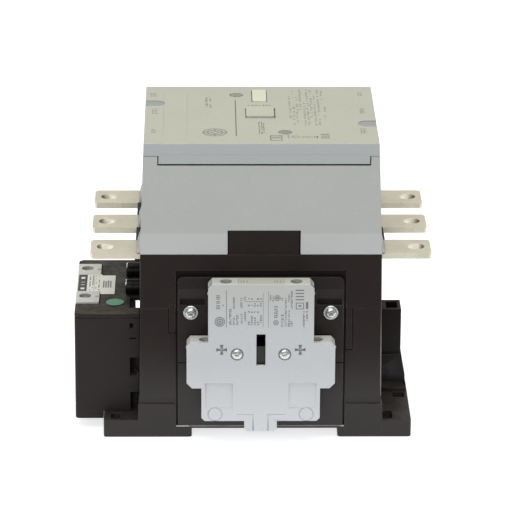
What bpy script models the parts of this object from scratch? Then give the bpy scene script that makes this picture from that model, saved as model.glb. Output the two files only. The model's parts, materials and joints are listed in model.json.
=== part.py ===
"""Three-pole bar-terminal contactor with a side auxiliary contact block and an end coil module.

Frame: metres, +Z up. The contactor lies on its mounting plane, z = 0 is the
underside of the feet, and the origin is the centre of its bounding footprint
on that plane. X runs along the current path (terminals at both ends), Y across
the poles; the front is -Y. The shapes below are stated in millimetres about the
middle of the poles, scaled once by MM, and the root empty carries them into the frame.
"""

import math

import bmesh
import bpy
from mathutils import Vector

MM = 0.001
GAP = 0.3                      # air left between neighbouring pieces
SIDES = (-1, 1)                # the negative and positive side of an axis
POLES = (-1, 0, 1)             # pole numbers about the middle one
WORDS = ((-1, "line"), (1, "load"))  # X side and the word for its terminals

# Heights of the stack
UNDERSIDE = 6.5                # body underside between the feet
FOOT_TOP = 12.2
FOOT_BLOCK_TOP = 24.0          # blocks that rise from the feet on the long sides
BASE_TOP = 92.0
HOUSING_TOP = 130.0
COVER_BOTTOM = HOUSING_TOP + GAP
COVER_TOP = 197.6
LID_TOP = 206.4

# Plan sizes
BODY_X, BODY_Y = 81.4, 67.0    # half sizes of the body, extended down to z = 0
SPLIT_X, SPLIT_Y = 80.0, 66.0  # half sizes at the bottom of the arc cover
TOP_X, TOP_Y = 77.25, 63.25    # half sizes of the top face
HOLLOW_X, HOLLOW_FLOOR = 70.0, 10.0  # cavity of the base

# Poles
PAD_PITCH = 51.0               # terminal pads
POLE_PITCH = 46.0              # contact chambers inside
DIVIDER_Y = PAD_PITCH / 2      # walls between the chambers
DIVIDER_HALF = 1.3
BAR_W, BAR_T = 27.0, 4.0
BAR_INNER_T = 3.6              # bar thickness inside the wall
BAR_Z = 126.5                  # underside of the bars
BAR_END = 113.0
BAR_CHAMFER = 1.6
BAR_HOLE_R, BAR_HOLE_X = 5.4, 103.2
TIP_X = 34.6                   # inner edge of the contact tips
TIP_TOP = BAR_Z + 5.8          # top of the fixed tips

# Magnet and motion
STROKE = 8.0                   # armature and carrier
CONTACT_GAP = 6.0              # bridge travel; the rest of the stroke loads the contact springs
AIR = 0.1                      # air left at the closed tips
ARM_FACE, ARM_BACK = 62.0, 100.0  # leg ends and closed side of the armature
CORE_BOTTOM = 14.0
CORE_HALF_Y = 20.0
PIN_Z, PIN_R = 91.0, 3.0
SPRING_Y, SPRING_SEAT = 46.0, 56.0  # return springs
CARRIER_BOTTOM, CARRIER_TOP = 101.0, 160.0
BRIDGE_Z, BRIDGE_T = 140.4, 4.0
BRIDGE_WINDOW_TOP = 159.0

# Side panels and the recesses that hold them
WALL_PANEL = 62.0              # floor of the recess
OUTSIDE_Y = 69.0               # how far out the wall cutters reach
RECESS_X, RECESS_BOTTOM, RECESS_TOP = 56.5, 8.4, 119.0  # the recess stays open above a panel
WALL_HOLE = (56.0, 62.6)       # Y reach of holes through the recess floor
WINDOW_X, WINDOW_Z = 5.0, (50.0, 76.0)  # opening through wall and panel
PANEL_X, PANEL_BOTTOM, PANEL_TOP = 55.2, RECESS_BOTTOM + GAP, 114.5
PANEL_SCREW = (46.5, 89.8)     # x, z
PANEL_SCREW_SEAT, PANEL_SCREW_HEAD = 67.3, 2.9
TABS = ((-1, 75.0), (1, 63.0))  # X side and lower end of the tabs of the contact housing

# Auxiliary block
AUX_FRONT, AUX_BACK = -81.5, -68.3
AUX_SCREW = (15.8, 65.3)       # x, z
AUX_SCREW_SEAT, AUX_SCREW_HEAD = -80.2, 1.9
AUX_TERMINALS = (              # x either side, y, well floor z, well radius, pilot hole bottom
    (23.3, -75.6, 104.0, 3.75, 94.0),
    (37.1, -75.8, 66.0, 3.9, 60.0),
)

# Coil module at the -X end
MOD_X0, MOD_X1, MOD_Y0, MOD_Y1, MOD_TOP = -124.5, -85.4, -51.0, 55.0, 82.5
MOD_LID_BOTTOM = MOD_TOP - 3.0
MOD_WALL_TOP = MOD_LID_BOTTOM - GAP
MOD_FACE_X = -80.9             # +X edge of the module's cover
COIL_SCREWS = ((-118.2, -18.4), (-118.0, 35.4))  # x, y
COIL_SCREW_FLOOR = 79.8
PLUG_Z, PLUG_R = 88.1, 5.3     # lead plugs between the coil module and the base
PLUG_Y = (-13.7, 19.1)

# Top fittings
LID_SCREWS = ((-15.6, 43.0), (15.9, -39.5))  # x, y
LIP_NEAR, LIP_FAR, LIP_Y = 67.4, 71.0, 62.3  # ends of the lid lips in X, inner face in Y

# Where the middle of the poles lies in the frame: X spans the coil module to
# the load bars, Y the auxiliary block's screw heads to the rear panel's.
POLES_X = -(MOD_X0 + BAR_END) / 2
POLES_Y = -(AUX_SCREW_SEAT - AUX_SCREW_HEAD + PANEL_SCREW_SEAT + PANEL_SCREW_HEAD) / 2

for old in list(bpy.data.objects):
    bpy.data.objects.remove(old, do_unlink=True)

scene = bpy.context.scene
tools = bpy.data.collections.new("cutters")
scene.collection.children.link(tools)
origins = {}                   # object name -> its origin, in mm


# ---------------------------------------------------------------- materials
def material(name, colour, roughness, metallic=0.0):
    made = bpy.data.materials.new(name)
    made.use_nodes = True
    shader = made.node_tree.nodes["Principled BSDF"]
    shader.inputs["Base Color"].default_value = (*colour, 1)
    shader.inputs["Roughness"].default_value = roughness
    shader.inputs["Metallic"].default_value = metallic
    made.diffuse_color = (*colour, 1)
    return made


def plastic(name, colour, roughness=0.5):
    return material(name, colour, roughness)


def metal(name, colour, roughness=0.35, metallic=1.0):
    return material(name, colour, roughness, metallic)


BLACK = plastic("black_moulding", (0.028, 0.025, 0.025), roughness=0.45)
MODULE = plastic("module_moulding", (0.045, 0.042, 0.036))
COVER = plastic("cover_moulding", (0.40, 0.42, 0.43))
LID = plastic("lid_moulding", (0.50, 0.49, 0.42))
AUX = plastic("aux_moulding", (0.58, 0.61, 0.64))
WHITE = plastic("white_moulding", (0.75, 0.74, 0.68), roughness=0.45)
CARRIER = plastic("carrier_moulding", (0.10, 0.06, 0.04))
TINNED = metal("tinned_copper", (0.60, 0.56, 0.46))
CONTACT = metal("contact_copper", (0.66, 0.32, 0.16))
STEEL = metal("zinc_steel", (0.62, 0.62, 0.60), roughness=0.3)
CORE = metal("core_steel", (0.30, 0.30, 0.31), roughness=0.45)
SPRING = metal("spring_steel", (0.45, 0.45, 0.46), roughness=0.3)
BOBBIN = plastic("bobbin_nylon", (0.62, 0.60, 0.52))
WINDING = metal("winding_copper", (0.55, 0.22, 0.08), roughness=0.4, metallic=0.6)
RUBBER = plastic("buffer_rubber", (0.03, 0.03, 0.03), roughness=0.9)
CHUTE = metal("chute_steel", (0.42, 0.40, 0.36), roughness=0.5)
BOARD = plastic("circuit_board", (0.04, 0.18, 0.08))
TERMINAL = plastic("terminal_moulding", (0.46, 0.46, 0.44))
LABEL = plastic("label_film", (0.72, 0.72, 0.70))
SEAL = plastic("green_seal", (0.09, 0.30, 0.16))
PLUG = plastic("plug_rubber", (0.012, 0.011, 0.010), roughness=0.4)


# ---------------------------------------------------------------- shapes
def face_outward(bm):
    bmesh.ops.recalc_face_normals(bm, faces=bm.faces)
    return bm


def box(x0, x1, y0, y1, z0, z1):
    """A box; the two ends of each direction may come in either order."""
    ends = [sorted(pair) for pair in ((x0, x1), (y0, y1), (z0, z1))]
    bm = bmesh.new()
    bmesh.ops.create_cube(bm, size=1.0)
    for v in bm.verts:
        v.co = Vector([pair[0] if c < 0 else pair[1] for pair, c in zip(ends, v.co)])
    return face_outward(bm)


def frustum(half0, z0, half1, z1):
    """A box on the Z axis with different half sizes (x, y) at its bottom and its top."""
    bm = box(-1, 1, -1, 1, z0, z1)
    for v in bm.verts:
        half = half0 if abs(v.co.z - z0) < 1e-3 else half1
        v.co.x *= half[0]
        v.co.y *= half[1]
    return bm


def on_axis(axis, across, along):
    """The point at `along` on an axis and `across` in the other two directions, in XYZ order."""
    u, v = across
    return {"x": (along, u, v), "y": (u, along, v), "z": (u, v, along)}[axis]


def prism(outline, axis, start, end):
    """A closed outline pushed along an axis: (x, z) pairs along Y, (x, y) along Z, (y, z) along X."""
    start, end = sorted((start, end))
    bm = bmesh.new()
    first = [bm.verts.new(on_axis(axis, p, start)) for p in outline]
    second = [bm.verts.new(on_axis(axis, p, end)) for p in outline]
    bm.faces.new(first)
    bm.faces.new(second[::-1])
    n = len(outline)
    for i in range(n):
        j = (i + 1) % n
        bm.faces.new((first[i], first[j], second[j], second[i]))
    return face_outward(bm)


def rounded(x0, x1, y0, y1, r, arc_steps=3):
    """Outline of a rectangle with rounded corners, counter-clockwise from the (+, +) corner."""
    x0, x1 = sorted((x0, x1))
    y0, y1 = sorted((y0, y1))
    centres = ((x1 - r, y1 - r), (x0 + r, y1 - r), (x0 + r, y0 + r), (x1 - r, y0 + r))
    points = []
    for corner, (x, y) in enumerate(centres):
        for i in range(arc_steps + 1):
            angle = math.radians(90 * corner + 90 * i / arc_steps)
            points.append((x + r * math.cos(angle), y + r * math.sin(angle)))
    return points


def cylinder(axis, at, start, end, r, sides=20):
    """A cylinder along an axis; at is its place in the other two directions."""
    angles = [2 * math.pi * i / sides for i in range(sides)]
    outline = [(at[0] + r * math.cos(a), at[1] + r * math.sin(a)) for a in angles]
    return prism(outline, axis, start, end)


def coil(x, y, z0, z1, radius, wire, turns):
    """A compression spring of wire radius `wire`, its pitch much reduced at both ends."""
    steps_per_turn, sides = 10, 5
    end_turn = 0.75 / turns    # share of the length of wire in each end
    end_rise = 0.10            # share of the height it takes up
    steps = int(turns * steps_per_turn)
    low, high = z0 + wire, z1 - wire
    bm = bmesh.new()
    rings = []
    for i in range(steps + 1):
        t = i / steps
        if t < end_turn:
            rise = end_rise * t / end_turn
        elif t > 1 - end_turn:
            rise = 1 - end_rise * (1 - t) / end_turn
        else:
            rise = end_rise + (1 - 2 * end_rise) * (t - end_turn) / (1 - 2 * end_turn)
        angle = 2 * math.pi * turns * t
        out = Vector((math.cos(angle), math.sin(angle), 0))
        centre = Vector((x, y, low + (high - low) * rise)) + radius * out
        ring = []
        for k in range(sides):
            a = 2 * math.pi * k / sides
            offset = out * wire * math.cos(a) + Vector((0, 0, wire * math.sin(a)))
            ring.append(bm.verts.new(centre + offset))
        rings.append(ring)
    for one, two in zip(rings, rings[1:]):
        for k in range(sides):
            j = (k + 1) % sides
            bm.faces.new((one[k], one[j], two[j], two[k]))
    bm.faces.new(rings[0][::-1])
    bm.faces.new(rings[-1])
    return face_outward(bm)


# ---------------------------------------------------------------- objects
def place(obj, origin, parent):
    """Sets the object's origin, given in mm about the poles, under its parent."""
    origins[obj.name] = Vector(origin)
    obj.parent = parent
    parent_origin = origins[parent.name] if parent is not None else Vector()
    obj.location = (Vector(origin) - parent_origin) * MM


def to_object(name, bm, origin, collection):
    bmesh.ops.translate(bm, verts=bm.verts, vec=-Vector(origin))
    bmesh.ops.scale(bm, vec=(MM, MM, MM), verts=bm.verts)
    bm.normal_update()
    mesh = bpy.data.meshes.new(name)
    bm.to_mesh(mesh)
    bm.free()
    obj = bpy.data.objects.new(name, mesh)
    collection.objects.link(obj)
    return obj


def join(shape):
    return "join", shape


def cut(shape):
    return "cut", shape


def piece(name, mat, origin, parent, base_shape, steps=(), smooth=False):
    """One piece: a base shape, then shapes joined and cut in turn, about its own origin."""
    obj = to_object(name, base_shape, origin, scene.collection)
    place(obj, origin, parent)
    for i, (action, shape) in enumerate(steps):
        tool = to_object(f"{name}.tool{i:02d}", shape, origin, tools)
        tool.parent = obj
        tool.hide_render = True
        tool.display_type = "WIRE"
        modifier = obj.modifiers.new(f"{action} {i:02d}", "BOOLEAN")
        modifier.operation = "UNION" if action == "join" else "DIFFERENCE"
        modifier.solver = "EXACT"
        modifier.object = tool
    obj.data.materials.append(mat)
    if smooth:
        obj.data.shade_smooth()
        obj.data.set_sharp_from_angle(angle=math.radians(40))
    return obj


def empty(name, origin, parent=None):
    obj = bpy.data.objects.new(name, None)
    scene.collection.objects.link(obj)
    obj.empty_display_size = 0.01
    place(obj, origin, parent)
    return obj


def screw(name, axis, at, seat, outward, head, shank, parent):
    """A flat-headed screw with a cross recess.

    seat is the plane under its head, outward the way the head faces (+1 or -1),
    head is (radius, height) and shank is (radius, length).
    """
    head_r, head_t = head
    tip = seat + outward * head_t
    narrow, wide = head_r * 0.17, head_r * 0.62  # half sizes of the recess's arms
    steps = [join(cylinder(axis, at, seat + outward * 0.2, seat - outward * shank[1], shank[0], 10))]
    for u, v in ((wide, narrow), (narrow, wide)):
        arm = [(at[0] + i * u, at[1] + j * v) for i, j in ((-1, -1), (1, -1), (1, 1), (-1, 1))]
        steps.append(cut(prism(arm, axis, tip - outward * head_t * 0.6, tip + outward)))
    head_shape = cylinder(axis, at, seat, tip, head_r, 16)
    piece(name, STEEL, on_axis(axis, at, seat), parent, head_shape, steps, smooth=True)


# ---------------------------------------------------------------- base housing
# (x, z): the tower at the +X end widens towards its own foot
TOWER_FOOT = [
    (79.8, 12.6), (100.6, 12.6), (100.6, 19.6), (99.7, 24.2),
    (98.7, 30.2), (98.0, 35.0), (79.8, 35.0),
]
FOOT_CUT = (-1, 17)            # Z reach of the slots through the feet


def body_half(z):
    """Half sizes of the tapering body at a height."""
    t = z / COVER_BOTTOM
    return BODY_X + (SPLIT_X - BODY_X) * t, BODY_Y + (SPLIT_Y - BODY_Y) * t


def base_wall_steps(side):
    """Recess, holes, notches, grooves and mounting slot on one long side."""
    outside, floor = side * OUTSIDE_Y, side * WALL_PANEL
    hole0, hole1 = side * WALL_HOLE[0], side * WALL_HOLE[1]
    steps = [
        cut(box(-RECESS_X, RECESS_X, outside, floor, RECESS_BOTTOM, BASE_TOP + 1)),
        cut(box(-WINDOW_X, WINDOW_X, hole0, hole1, *WINDOW_Z)),
    ]
    for x in (-PANEL_SCREW[0], PANEL_SCREW[0]):
        steps.append(cut(cylinder("y", (x, PANEL_SCREW[1]), hole0, hole1, 2.4, 12)))
    # notches for the tabs of the contact housing
    for end, bottom in TABS:
        steps.append(cut(box(end * 56.0, end * 61.2, outside, floor, bottom - GAP, BASE_TOP + 1)))
    # groove above each foot block
    for end in SIDES:
        groove = box(end * 57.0, end * 83.0, outside, side * 66.1, FOOT_BLOCK_TOP, 29.5)
        steps.append(cut(groove))
    slot = rounded(82.6, 89.0, side * 50.0, side * 64.5, 3.0)
    steps.append(cut(prism(slot, "z", *FOOT_CUT)))
    return steps


def make_base_housing(parent):
    steps = []
    for x0, x1 in ((-105.2, -45.9), (52.0, 101.6)):
        foot = rounded(x0, x1, -BODY_Y, BODY_Y, 2.0)
        steps.append(join(prism(foot, "z", 0, FOOT_TOP)))
    for end in SIDES:
        block = box(end * 57.2, end * 81.9, -67.35, 67.35, 0.8, FOOT_BLOCK_TOP)
        steps.append(join(block))
    steps += [
        # strip along the +X foot, and the tower on it
        join(box(80.0, 101.0, -17.0, 66.2, 11.0, 15.2)),
        join(box(80.0, 97.5, -2.0, 17.0, 11.5, 67.0)),
        join(prism(TOWER_FOOT, "y", -5.0, 17.5)),
        # the cavity
        cut(box(-HOLLOW_X, HOLLOW_X, -57, 57, HOLLOW_FLOOR, BASE_TOP + 1)),
    ]
    # posts under the return springs, and the pins inside them
    for r, z0, z1, sides in ((6.5, 9.0, SPRING_SEAT, 16), (2.8, 55.0, 63.0, 12)):
        for y in (SPRING_Y, -SPRING_Y):
            steps.append(join(cylinder("z", (0, y), z0, z1, r, sides)))
    # pocket in the tower's top
    steps.append(cut(box(87.4, 94.8, 1.3, 13.4, 40.0, 68.0)))
    for side in SIDES:
        steps += base_wall_steps(side)
    # further slots through the feet
    for slot in (
        rounded(91.2, 99.3, -26.5, -17.4, 1.0, 2),
        rounded(-100.4, -93.9, -64.0, -54.0, 3.0),
        rounded(-100.4, -93.9, 57.0, 65.0, 3.0),
    ):
        steps.append(cut(prism(slot, "z", *FOOT_CUT)))
    for y in reversed(PLUG_Y):
        steps.append(cut(cylinder("x", (y, PLUG_Z), -82.5, -76.0, 3.3, 12)))
    body = frustum(body_half(UNDERSIDE), UNDERSIDE, body_half(BASE_TOP), BASE_TOP)
    return piece("base_housing", BLACK, (0, 0, 0), parent, body, steps)


# ---------------------------------------------------------------- contact housing
def make_contact_housing(parent):
    steps = []
    for end in SIDES:
        # blocks between the terminal pads
        for side in SIDES:
            block = box(end * 78, end * 83.2, side * 12.6, side * 38.4, 117.0, 131.2)
            steps.append(join(block))
        if end < 0:
            # thin ledge under one pad
            steps.append(join(box(-83.6, -78, -62.8, -38.8, 123.6, 126.0)))
    steps += [
        # trim to the seat of the arc cover, then raise the collar inside it
        cut(box(-80.4, 80.4, -70, 70, HOUSING_TOP, 134.0)),
        join(box(-75.5, 75.5, -60.8, 60.8, 129.0, 148.0)),
    ]
    # block on each long side of the collar
    for side in SIDES:
        block = box(side * 21.3, side * -25.3, side * 60.0, side * 65.2, 129.0, 146.2)
        steps.append(join(block))
    # upper and lower cavities
    steps += [
        cut(box(-72.5, 72.5, -58.2, 58.2, 115.0, 149.0)),
        cut(box(-HOLLOW_X, HOLLOW_X, -58.4, 58.4, 91.0, 112.0)),
    ]
    for y in (-DIVIDER_Y, DIVIDER_Y):
        divider = box(-73.0, 73.0, y - DIVIDER_HALF, y + DIVIDER_HALF, 114.0, 147.6)
        steps.append(join(divider))
    # bar supports, and bar passages through the collar and the outer wall
    for p in POLES:
        inner, pad = p * POLE_PITCH, p * PAD_PITCH
        pad0, pad1 = pad - 13.9, pad + 13.9
        wide0, wide1 = min(pad0, inner - 10.4), max(pad1, inner + 10.4)
        for end in SIDES:
            steps += [
                join(box(end * 40.0, end * 73.0, inner - 8, inner + 8, 114.0, 126.1)),
                cut(box(end * 72.2, end * 77.0, wide0, wide1, 126.2, 130.9)),
                cut(box(end * 76.0, end * 84.0, pad0, pad1, 126.2, 134.0)),
            ]
    # passage for the contact carrier
    steps.append(cut(box(-12, 12, -58.1, 58.1, 111.0, 149.0)))
    for side in SIDES:
        outside, floor = side * OUTSIDE_Y, side * WALL_PANEL
        steps.append(cut(box(-RECESS_X, RECESS_X, outside, floor, 91.0, RECESS_TOP)))
        # tabs that reach down into the base
        for end, bottom in TABS:
            tab = box(end * 60.8, end * 56.8, side * 62.4, side * 66.5, bottom, 95.0)
            steps.append(join(tab))
    bottom = BASE_TOP + GAP
    body = frustum(body_half(BASE_TOP), bottom, body_half(HOUSING_TOP), HOUSING_TOP)
    return piece("contact_housing", BLACK, (0, 0, bottom), parent, body, steps)


# ---------------------------------------------------------------- arc cover
def make_arc_cover(parent):
    steps = [cut(frustum((76.85, 61.95), 129.0, (74.4, 59.8), 194.6))]
    for y in (-DIVIDER_Y, DIVIDER_Y):
        divider = box(-75.2, 75.2, y - DIVIDER_HALF, y + DIVIDER_HALF, 148.5, 195.6)
        steps.append(join(divider))
    # clearance for the carrier in the dividers
    steps.append(cut(box(-12, 12, -30, 30, 148.0, 164.0)))
    # notches over the blocks of the contact housing
    for side in SIDES:
        steps.append(cut(box(side * 22, side * -26, side * 70, side * 61.1, 129.0, 146.6)))
    # grooves for the lid's lips
    for side in SIDES:
        near, far = side * (LIP_NEAR + GAP), -side * (LIP_FAR + GAP)
        steps.append(cut(box(near, far, side * 68, side * (LIP_Y - GAP), 191.9, 199.0)))
    # opening for the position indicator
    steps.append(cut(box(-5.5, 5.6, 27.8, 55.4, 193.0, 199.0)))
    for at in LID_SCREWS:
        steps.append(cut(cylinder("z", at, 193.0, 199.0, 1.75, 12)))
    # hood over each terminal, and the passage under it
    for p in POLES:
        y = p * PAD_PITCH
        for end in SIDES:
            section = ((78.0, 129.5), (82.0, 129.5), (82.0, 131.6), (79.8, 138.2), (78.0, 138.2))
            hood = [(end * x, z) for x, z in section]
            steps += [
                join(prism(hood, "y", y - 13.4, y + 13.4)),
                cut(box(end * 72.0, end * 84.0, y - 14.1, y + 14.1, 128.0, 130.9)),
            ]
    body = frustum((SPLIT_X, SPLIT_Y), COVER_BOTTOM, (77.6, 63.75), COVER_TOP)
    cover = piece("arc_cover", COVER, (0, 0, COVER_BOTTOM), parent, body, steps)
    for i, at in enumerate(LID_SCREWS, 1):
        screw(f"cover_screw_{i}", "z", at, 201.0 + GAP, 1, (4.1, 2.6), (1.6, 8.0), cover)
    return cover


# ---------------------------------------------------------------- top lid and marker tile
def make_top_lid(parent):
    steps = [cut(box(-74.5, 74.5, -60.5, 60.5, 197.0, 203.0))]
    for side in SIDES:
        lip = box(side * LIP_NEAR, -side * LIP_FAR, side * 63.85, side * LIP_Y, 192.3, 198.6)
        steps.append(join(lip))
    # boss, head well and shank hole of each screw
    for at in LID_SCREWS:
        steps += [
            join(cylinder("z", at, 198.2, 204.0, 6.6, 16)),
            cut(cylinder("z", at, 201.0, 208.0, 4.7)),
            cut(cylinder("z", at, 197.0, 202.0, 2.1, 12)),
        ]
    steps += [
        # indicator opening, pocket of the marker tile, and a shallow slot at each end
        cut(box(-5.1, 5.2, 28.1, 55.0, 196.0, 208.0)),
        cut(box(-9.75, 9.75, -8.0, 13.6, 204.4, 208.0)),
        cut(prism(rounded(-90.0, -64.0, 18.6, 30.8, 6.0, 4), "z", 204.6, 208.0)),
        cut(prism(rounded(64.8, 90.0, -27.0, -14.0, 6.4, 4), "z", 204.6, 208.0)),
    ]
    bottom = COVER_TOP + GAP
    body = frustum((77.55, 63.7), bottom, (TOP_X, TOP_Y), LID_TOP)
    lid = piece("top_lid", LID, (0, 0, bottom), parent, body, steps)
    tile = prism(rounded(-9.3, 9.3, -7.5, 13.2, 0.8, 2), "z", 204.7, 207.6)
    piece("marker_tile", LID, (0, 2.8, 204.7), lid, tile)


# ---------------------------------------------------------------- terminal bars, arc chutes
def make_terminal_bar(end, word, p, parent):
    pad, inner = p * PAD_PITCH, p * POLE_PITCH
    half, root, c = BAR_W / 2, 82.6, BAR_CHAMFER
    outline = [
        (root, pad - half), (BAR_END - c, pad - half), (BAR_END, pad - half + c),
        (BAR_END, pad + half - c), (BAR_END - c, pad + half), (root, pad + half),
    ]
    top = BAR_Z + BAR_INNER_T
    steps = [
        # through the wall, inside the chamber, the contact tip, and the bolt hole
        join(box(end * 75.0, end * 83.0, pad - half, pad + half, BAR_Z, top)),
        join(box(end * 34.0, end * 76.0, inner - 10, inner + 10, BAR_Z, top)),
        join(box(end * TIP_X, end * 44.0, inner - 8, inner + 8, BAR_Z + 3.0, TIP_TOP)),
        cut(cylinder("z", (end * BAR_HOLE_X, pad), BAR_Z - 1, BAR_Z + 6, BAR_HOLE_R, 24)),
    ]
    shape = prism([(end * x, y) for x, y in outline], "z", BAR_Z, BAR_Z + BAR_T)
    origin = (end * BAR_HOLE_X, pad, BAR_Z)
    piece(f"{word}_terminal_bar_{p + 2}", TINNED, origin, parent, shape, steps)


def make_arc_chute(end, word, p, parent):
    """A comb of level plates joined by a thin spine at their outer ends."""
    plates, first, pitch, thick = 8, 150.0, 5.9, 1.6
    tip, root, spine = end * 49.0, end * 70.0, end * 71.5
    comb = [(spine, first), (spine, first + (plates - 1) * pitch + thick)]
    for k in reversed(range(plates)):
        z = first + k * pitch
        comb += [(tip, z + thick), (tip, z)]
        if k:
            comb += [(root, z), (root, z - pitch + thick)]
    y = p * 43.5
    shape = prism(comb, "y", y - 14.5, y + 14.5)
    piece(f"{word}_arc_chute_{p + 2}", CHUTE, (end * 60, y, first), parent, shape)


# ---------------------------------------------------------------- fixed magnet and coil
def e_core(back, root, leg_end):
    """An E-shaped stack, from the z of its closed side, of its legs' root and of their ends."""
    outer, window, middle = 46, 32.5, 13
    outline = [
        (-outer, back), (outer, back), (outer, leg_end), (window, leg_end),
        (window, root), (middle, root), (middle, leg_end), (-middle, leg_end),
        (-middle, root), (-window, root), (-window, leg_end), (-outer, leg_end),
    ]
    return prism(outline, "y", -CORE_HALF_Y, CORE_HALF_Y)


def make_fixed_magnet(parent):
    core = e_core(CORE_BOTTOM, 30.0, ARM_FACE - STROKE - GAP)
    piece("fixed_core", CORE, (0, 0, CORE_BOTTOM), parent, core)
    bottom = HOLLOW_FLOOR + GAP
    buffer = box(-45, 45, -18, 18, bottom, CORE_BOTTOM - GAP)
    piece("core_buffer", RUBBER, (0, 0, bottom), parent, buffer)


def make_coil(parent):
    bottom, top, flange = 30.4, 72.0, 2.0
    outline = rounded(-31.8, 31.8, -38, 38, 4.0)
    bobbin = piece(
        "coil_bobbin", BOBBIN, (0, 0, bottom), parent, box(-15, 15, -22, 22, bottom, top),
        [
            join(prism(outline, "z", bottom, bottom + flange)),
            join(prism(outline, "z", top - flange, top)),
            cut(box(-13.5, 13.5, -20.5, 20.5, 29.0, 74.0)),
        ],
    )
    turns = rounded(-31.2, 31.2, -37.4, 37.4, 9.0, 4)
    piece(
        "coil_winding", WINDING, (0, 0, 51), bobbin,
        prism(turns, "z", bottom + flange + GAP, top - flange - GAP),
        [cut(box(-15.4, 15.4, -22.4, 22.4, 31.0, 71.0))],
    )


def make_return_springs(parent):
    z0, z1 = SPRING_SEAT + GAP, CARRIER_BOTTOM - GAP
    for i, y in enumerate((-SPRING_Y, SPRING_Y), 1):
        spring = coil(0, y, z0, z1, radius=4.8, wire=0.7, turns=6.5)
        piece(f"return_spring_{i}", SPRING, (0, y, z0), parent, spring, smooth=True)


# ---------------------------------------------------------------- moving system
def make_carrier(slide):
    # upright between the poles, with a window for each bridge
    steps = [join(box(-9, 9, -57.4, 57.4, 107.0, CARRIER_TOP))]
    for p in POLES:
        y = p * POLE_PITCH
        steps.append(cut(box(-10, 10, y - 9, y + 9, BRIDGE_Z - GAP, BRIDGE_WINDOW_TOP)))
    for side in SIDES:
        pin_hole = cylinder("y", (0, PIN_Z), side * 19.0, side * 26.0, PIN_R + GAP, 16)
        steps += [
            # tongue hanging at the wall, with a hole at the auxiliary slider's height
            join(box(-6, 6, side * 53.0, side * 55.5, 58.0, 103.0)),
            cut(box(-3.2, 3.2, side * 52.0, side * 56.5, 62.3, 67.7)),
            # lug beside the armature
            join(box(-9, 9, side * 20.6, side * 24.0, 84.0, 103.0)),
            cut(pin_hole),
        ]
    plate = box(-30, 30, -55.5, 55.5, CARRIER_BOTTOM, 108.0)
    piece("contact_carrier", CARRIER, (0, 0, ARM_BACK), slide, plate, steps)


def make_armature(slide):
    at = (0, PIN_Z)
    piece(
        "armature_core", CORE, (0, 0, ARM_BACK), slide, e_core(ARM_BACK, 82.0, ARM_FACE),
        [cut(cylinder("y", at, -21, 21, PIN_R + GAP, 16))],
    )
    pin = cylinder("y", at, -25.6, 25.6, PIN_R, 16)
    piece("armature_pin", STEEL, (0, 0, PIN_Z), slide, pin, smooth=True)


def make_indicator(slide):
    """The plate seen in the lid, on a stem that stands on the carrier."""
    bottom = CARRIER_TOP + GAP
    plate = prism(rounded(-4.7, 4.8, 28.5, 54.6, 0.6, 2), "z", 202.5, 206.7)
    stem = box(-2.8, 3.3, 38.5, 46.7, bottom, 203.5)
    piece("position_indicator", WHITE, (0.25, 42.6, bottom), slide, plate, [join(stem)])


def make_bridge(p, slide):
    """A contact bridge on its own slide, and the spring above it."""
    number, y = p + 2, p * POLE_PITCH
    hold = empty(f"bridge_slide_{number}", (0, y, BRIDGE_Z), slide)
    tip_z = CONTACT_GAP + AIR + TIP_TOP
    tips = [
        join(box(end * 44, end * TIP_X, y - 7.5, y + 7.5, tip_z, BRIDGE_Z + 1))
        for end in SIDES
    ]
    bar = box(-45, 45, y - 8.5, y + 8.5, BRIDGE_Z, BRIDGE_Z + BRIDGE_T)
    piece(f"contact_bridge_{number}", CONTACT, (0, y, BRIDGE_Z), hold, bar, tips)
    z0, z1 = BRIDGE_Z + BRIDGE_T + GAP, BRIDGE_WINDOW_TOP - GAP
    spring = coil(0, y, z0, z1, radius=5.3, wire=0.75, turns=4.0)
    piece(f"contact_spring_{number}", SPRING, (0, y, z0), slide, spring, smooth=True)


# ---------------------------------------------------------------- side panels
def make_side_panel(side, word, parent):
    inner, outer = side * 61.0, side * OUTSIDE_Y  # Y reach of the cutters
    steps = [
        # thicker lower part, and the window
        join(box(-PANEL_X, PANEL_X, side * 67.8, side * 63.0, PANEL_BOTTOM, 53.4)),
        cut(box(-WINDOW_X, WINDOW_X, inner, outer, *WINDOW_Z)),
    ]
    holes = [(PANEL_SCREW, 2.6)]
    if side < 0:
        holes.append((AUX_SCREW, 2.0))
    for (screw_x, screw_z), r in holes:
        for x in (-screw_x, screw_x):
            steps.append(cut(cylinder("y", (x, screw_z), inner, outer, r, 12)))
    # (y, z): sloping finger pockets near the top
    pocket = ((68.5, 106.0), (66.9, 106.0), (65.2, 98.5), (63.4, 98.5), (63.4, 95.0), (68.5, 95.0))
    for end in SIDES:
        steps.append(cut(prism([(side * y, z) for y, z in pocket], "x", end * 37.0, end * 54.0)))
    # square lower corners, then the two rounded upper ones
    upper = rounded(-PANEL_X, PANEL_X, PANEL_BOTTOM, PANEL_TOP, 3.0)[:8]
    outline = [(-PANEL_X, PANEL_BOTTOM), (PANEL_X, PANEL_BOTTOM)] + upper
    back = side * (WALL_PANEL + GAP)
    plate = prism(outline, "y", side * 67.0, back)
    panel = piece(f"side_panel_{word}", BLACK, (0, back, 60), parent, plate, steps)
    for i, end in enumerate(SIDES, 1):
        screw(
            f"panel_{word}_screw_{i}", "y", (end * PANEL_SCREW[0], PANEL_SCREW[1]),
            side * PANEL_SCREW_SEAT, side, (4.9, PANEL_SCREW_HEAD), (2.1, 9.8), panel,
        )
    return panel


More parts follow.
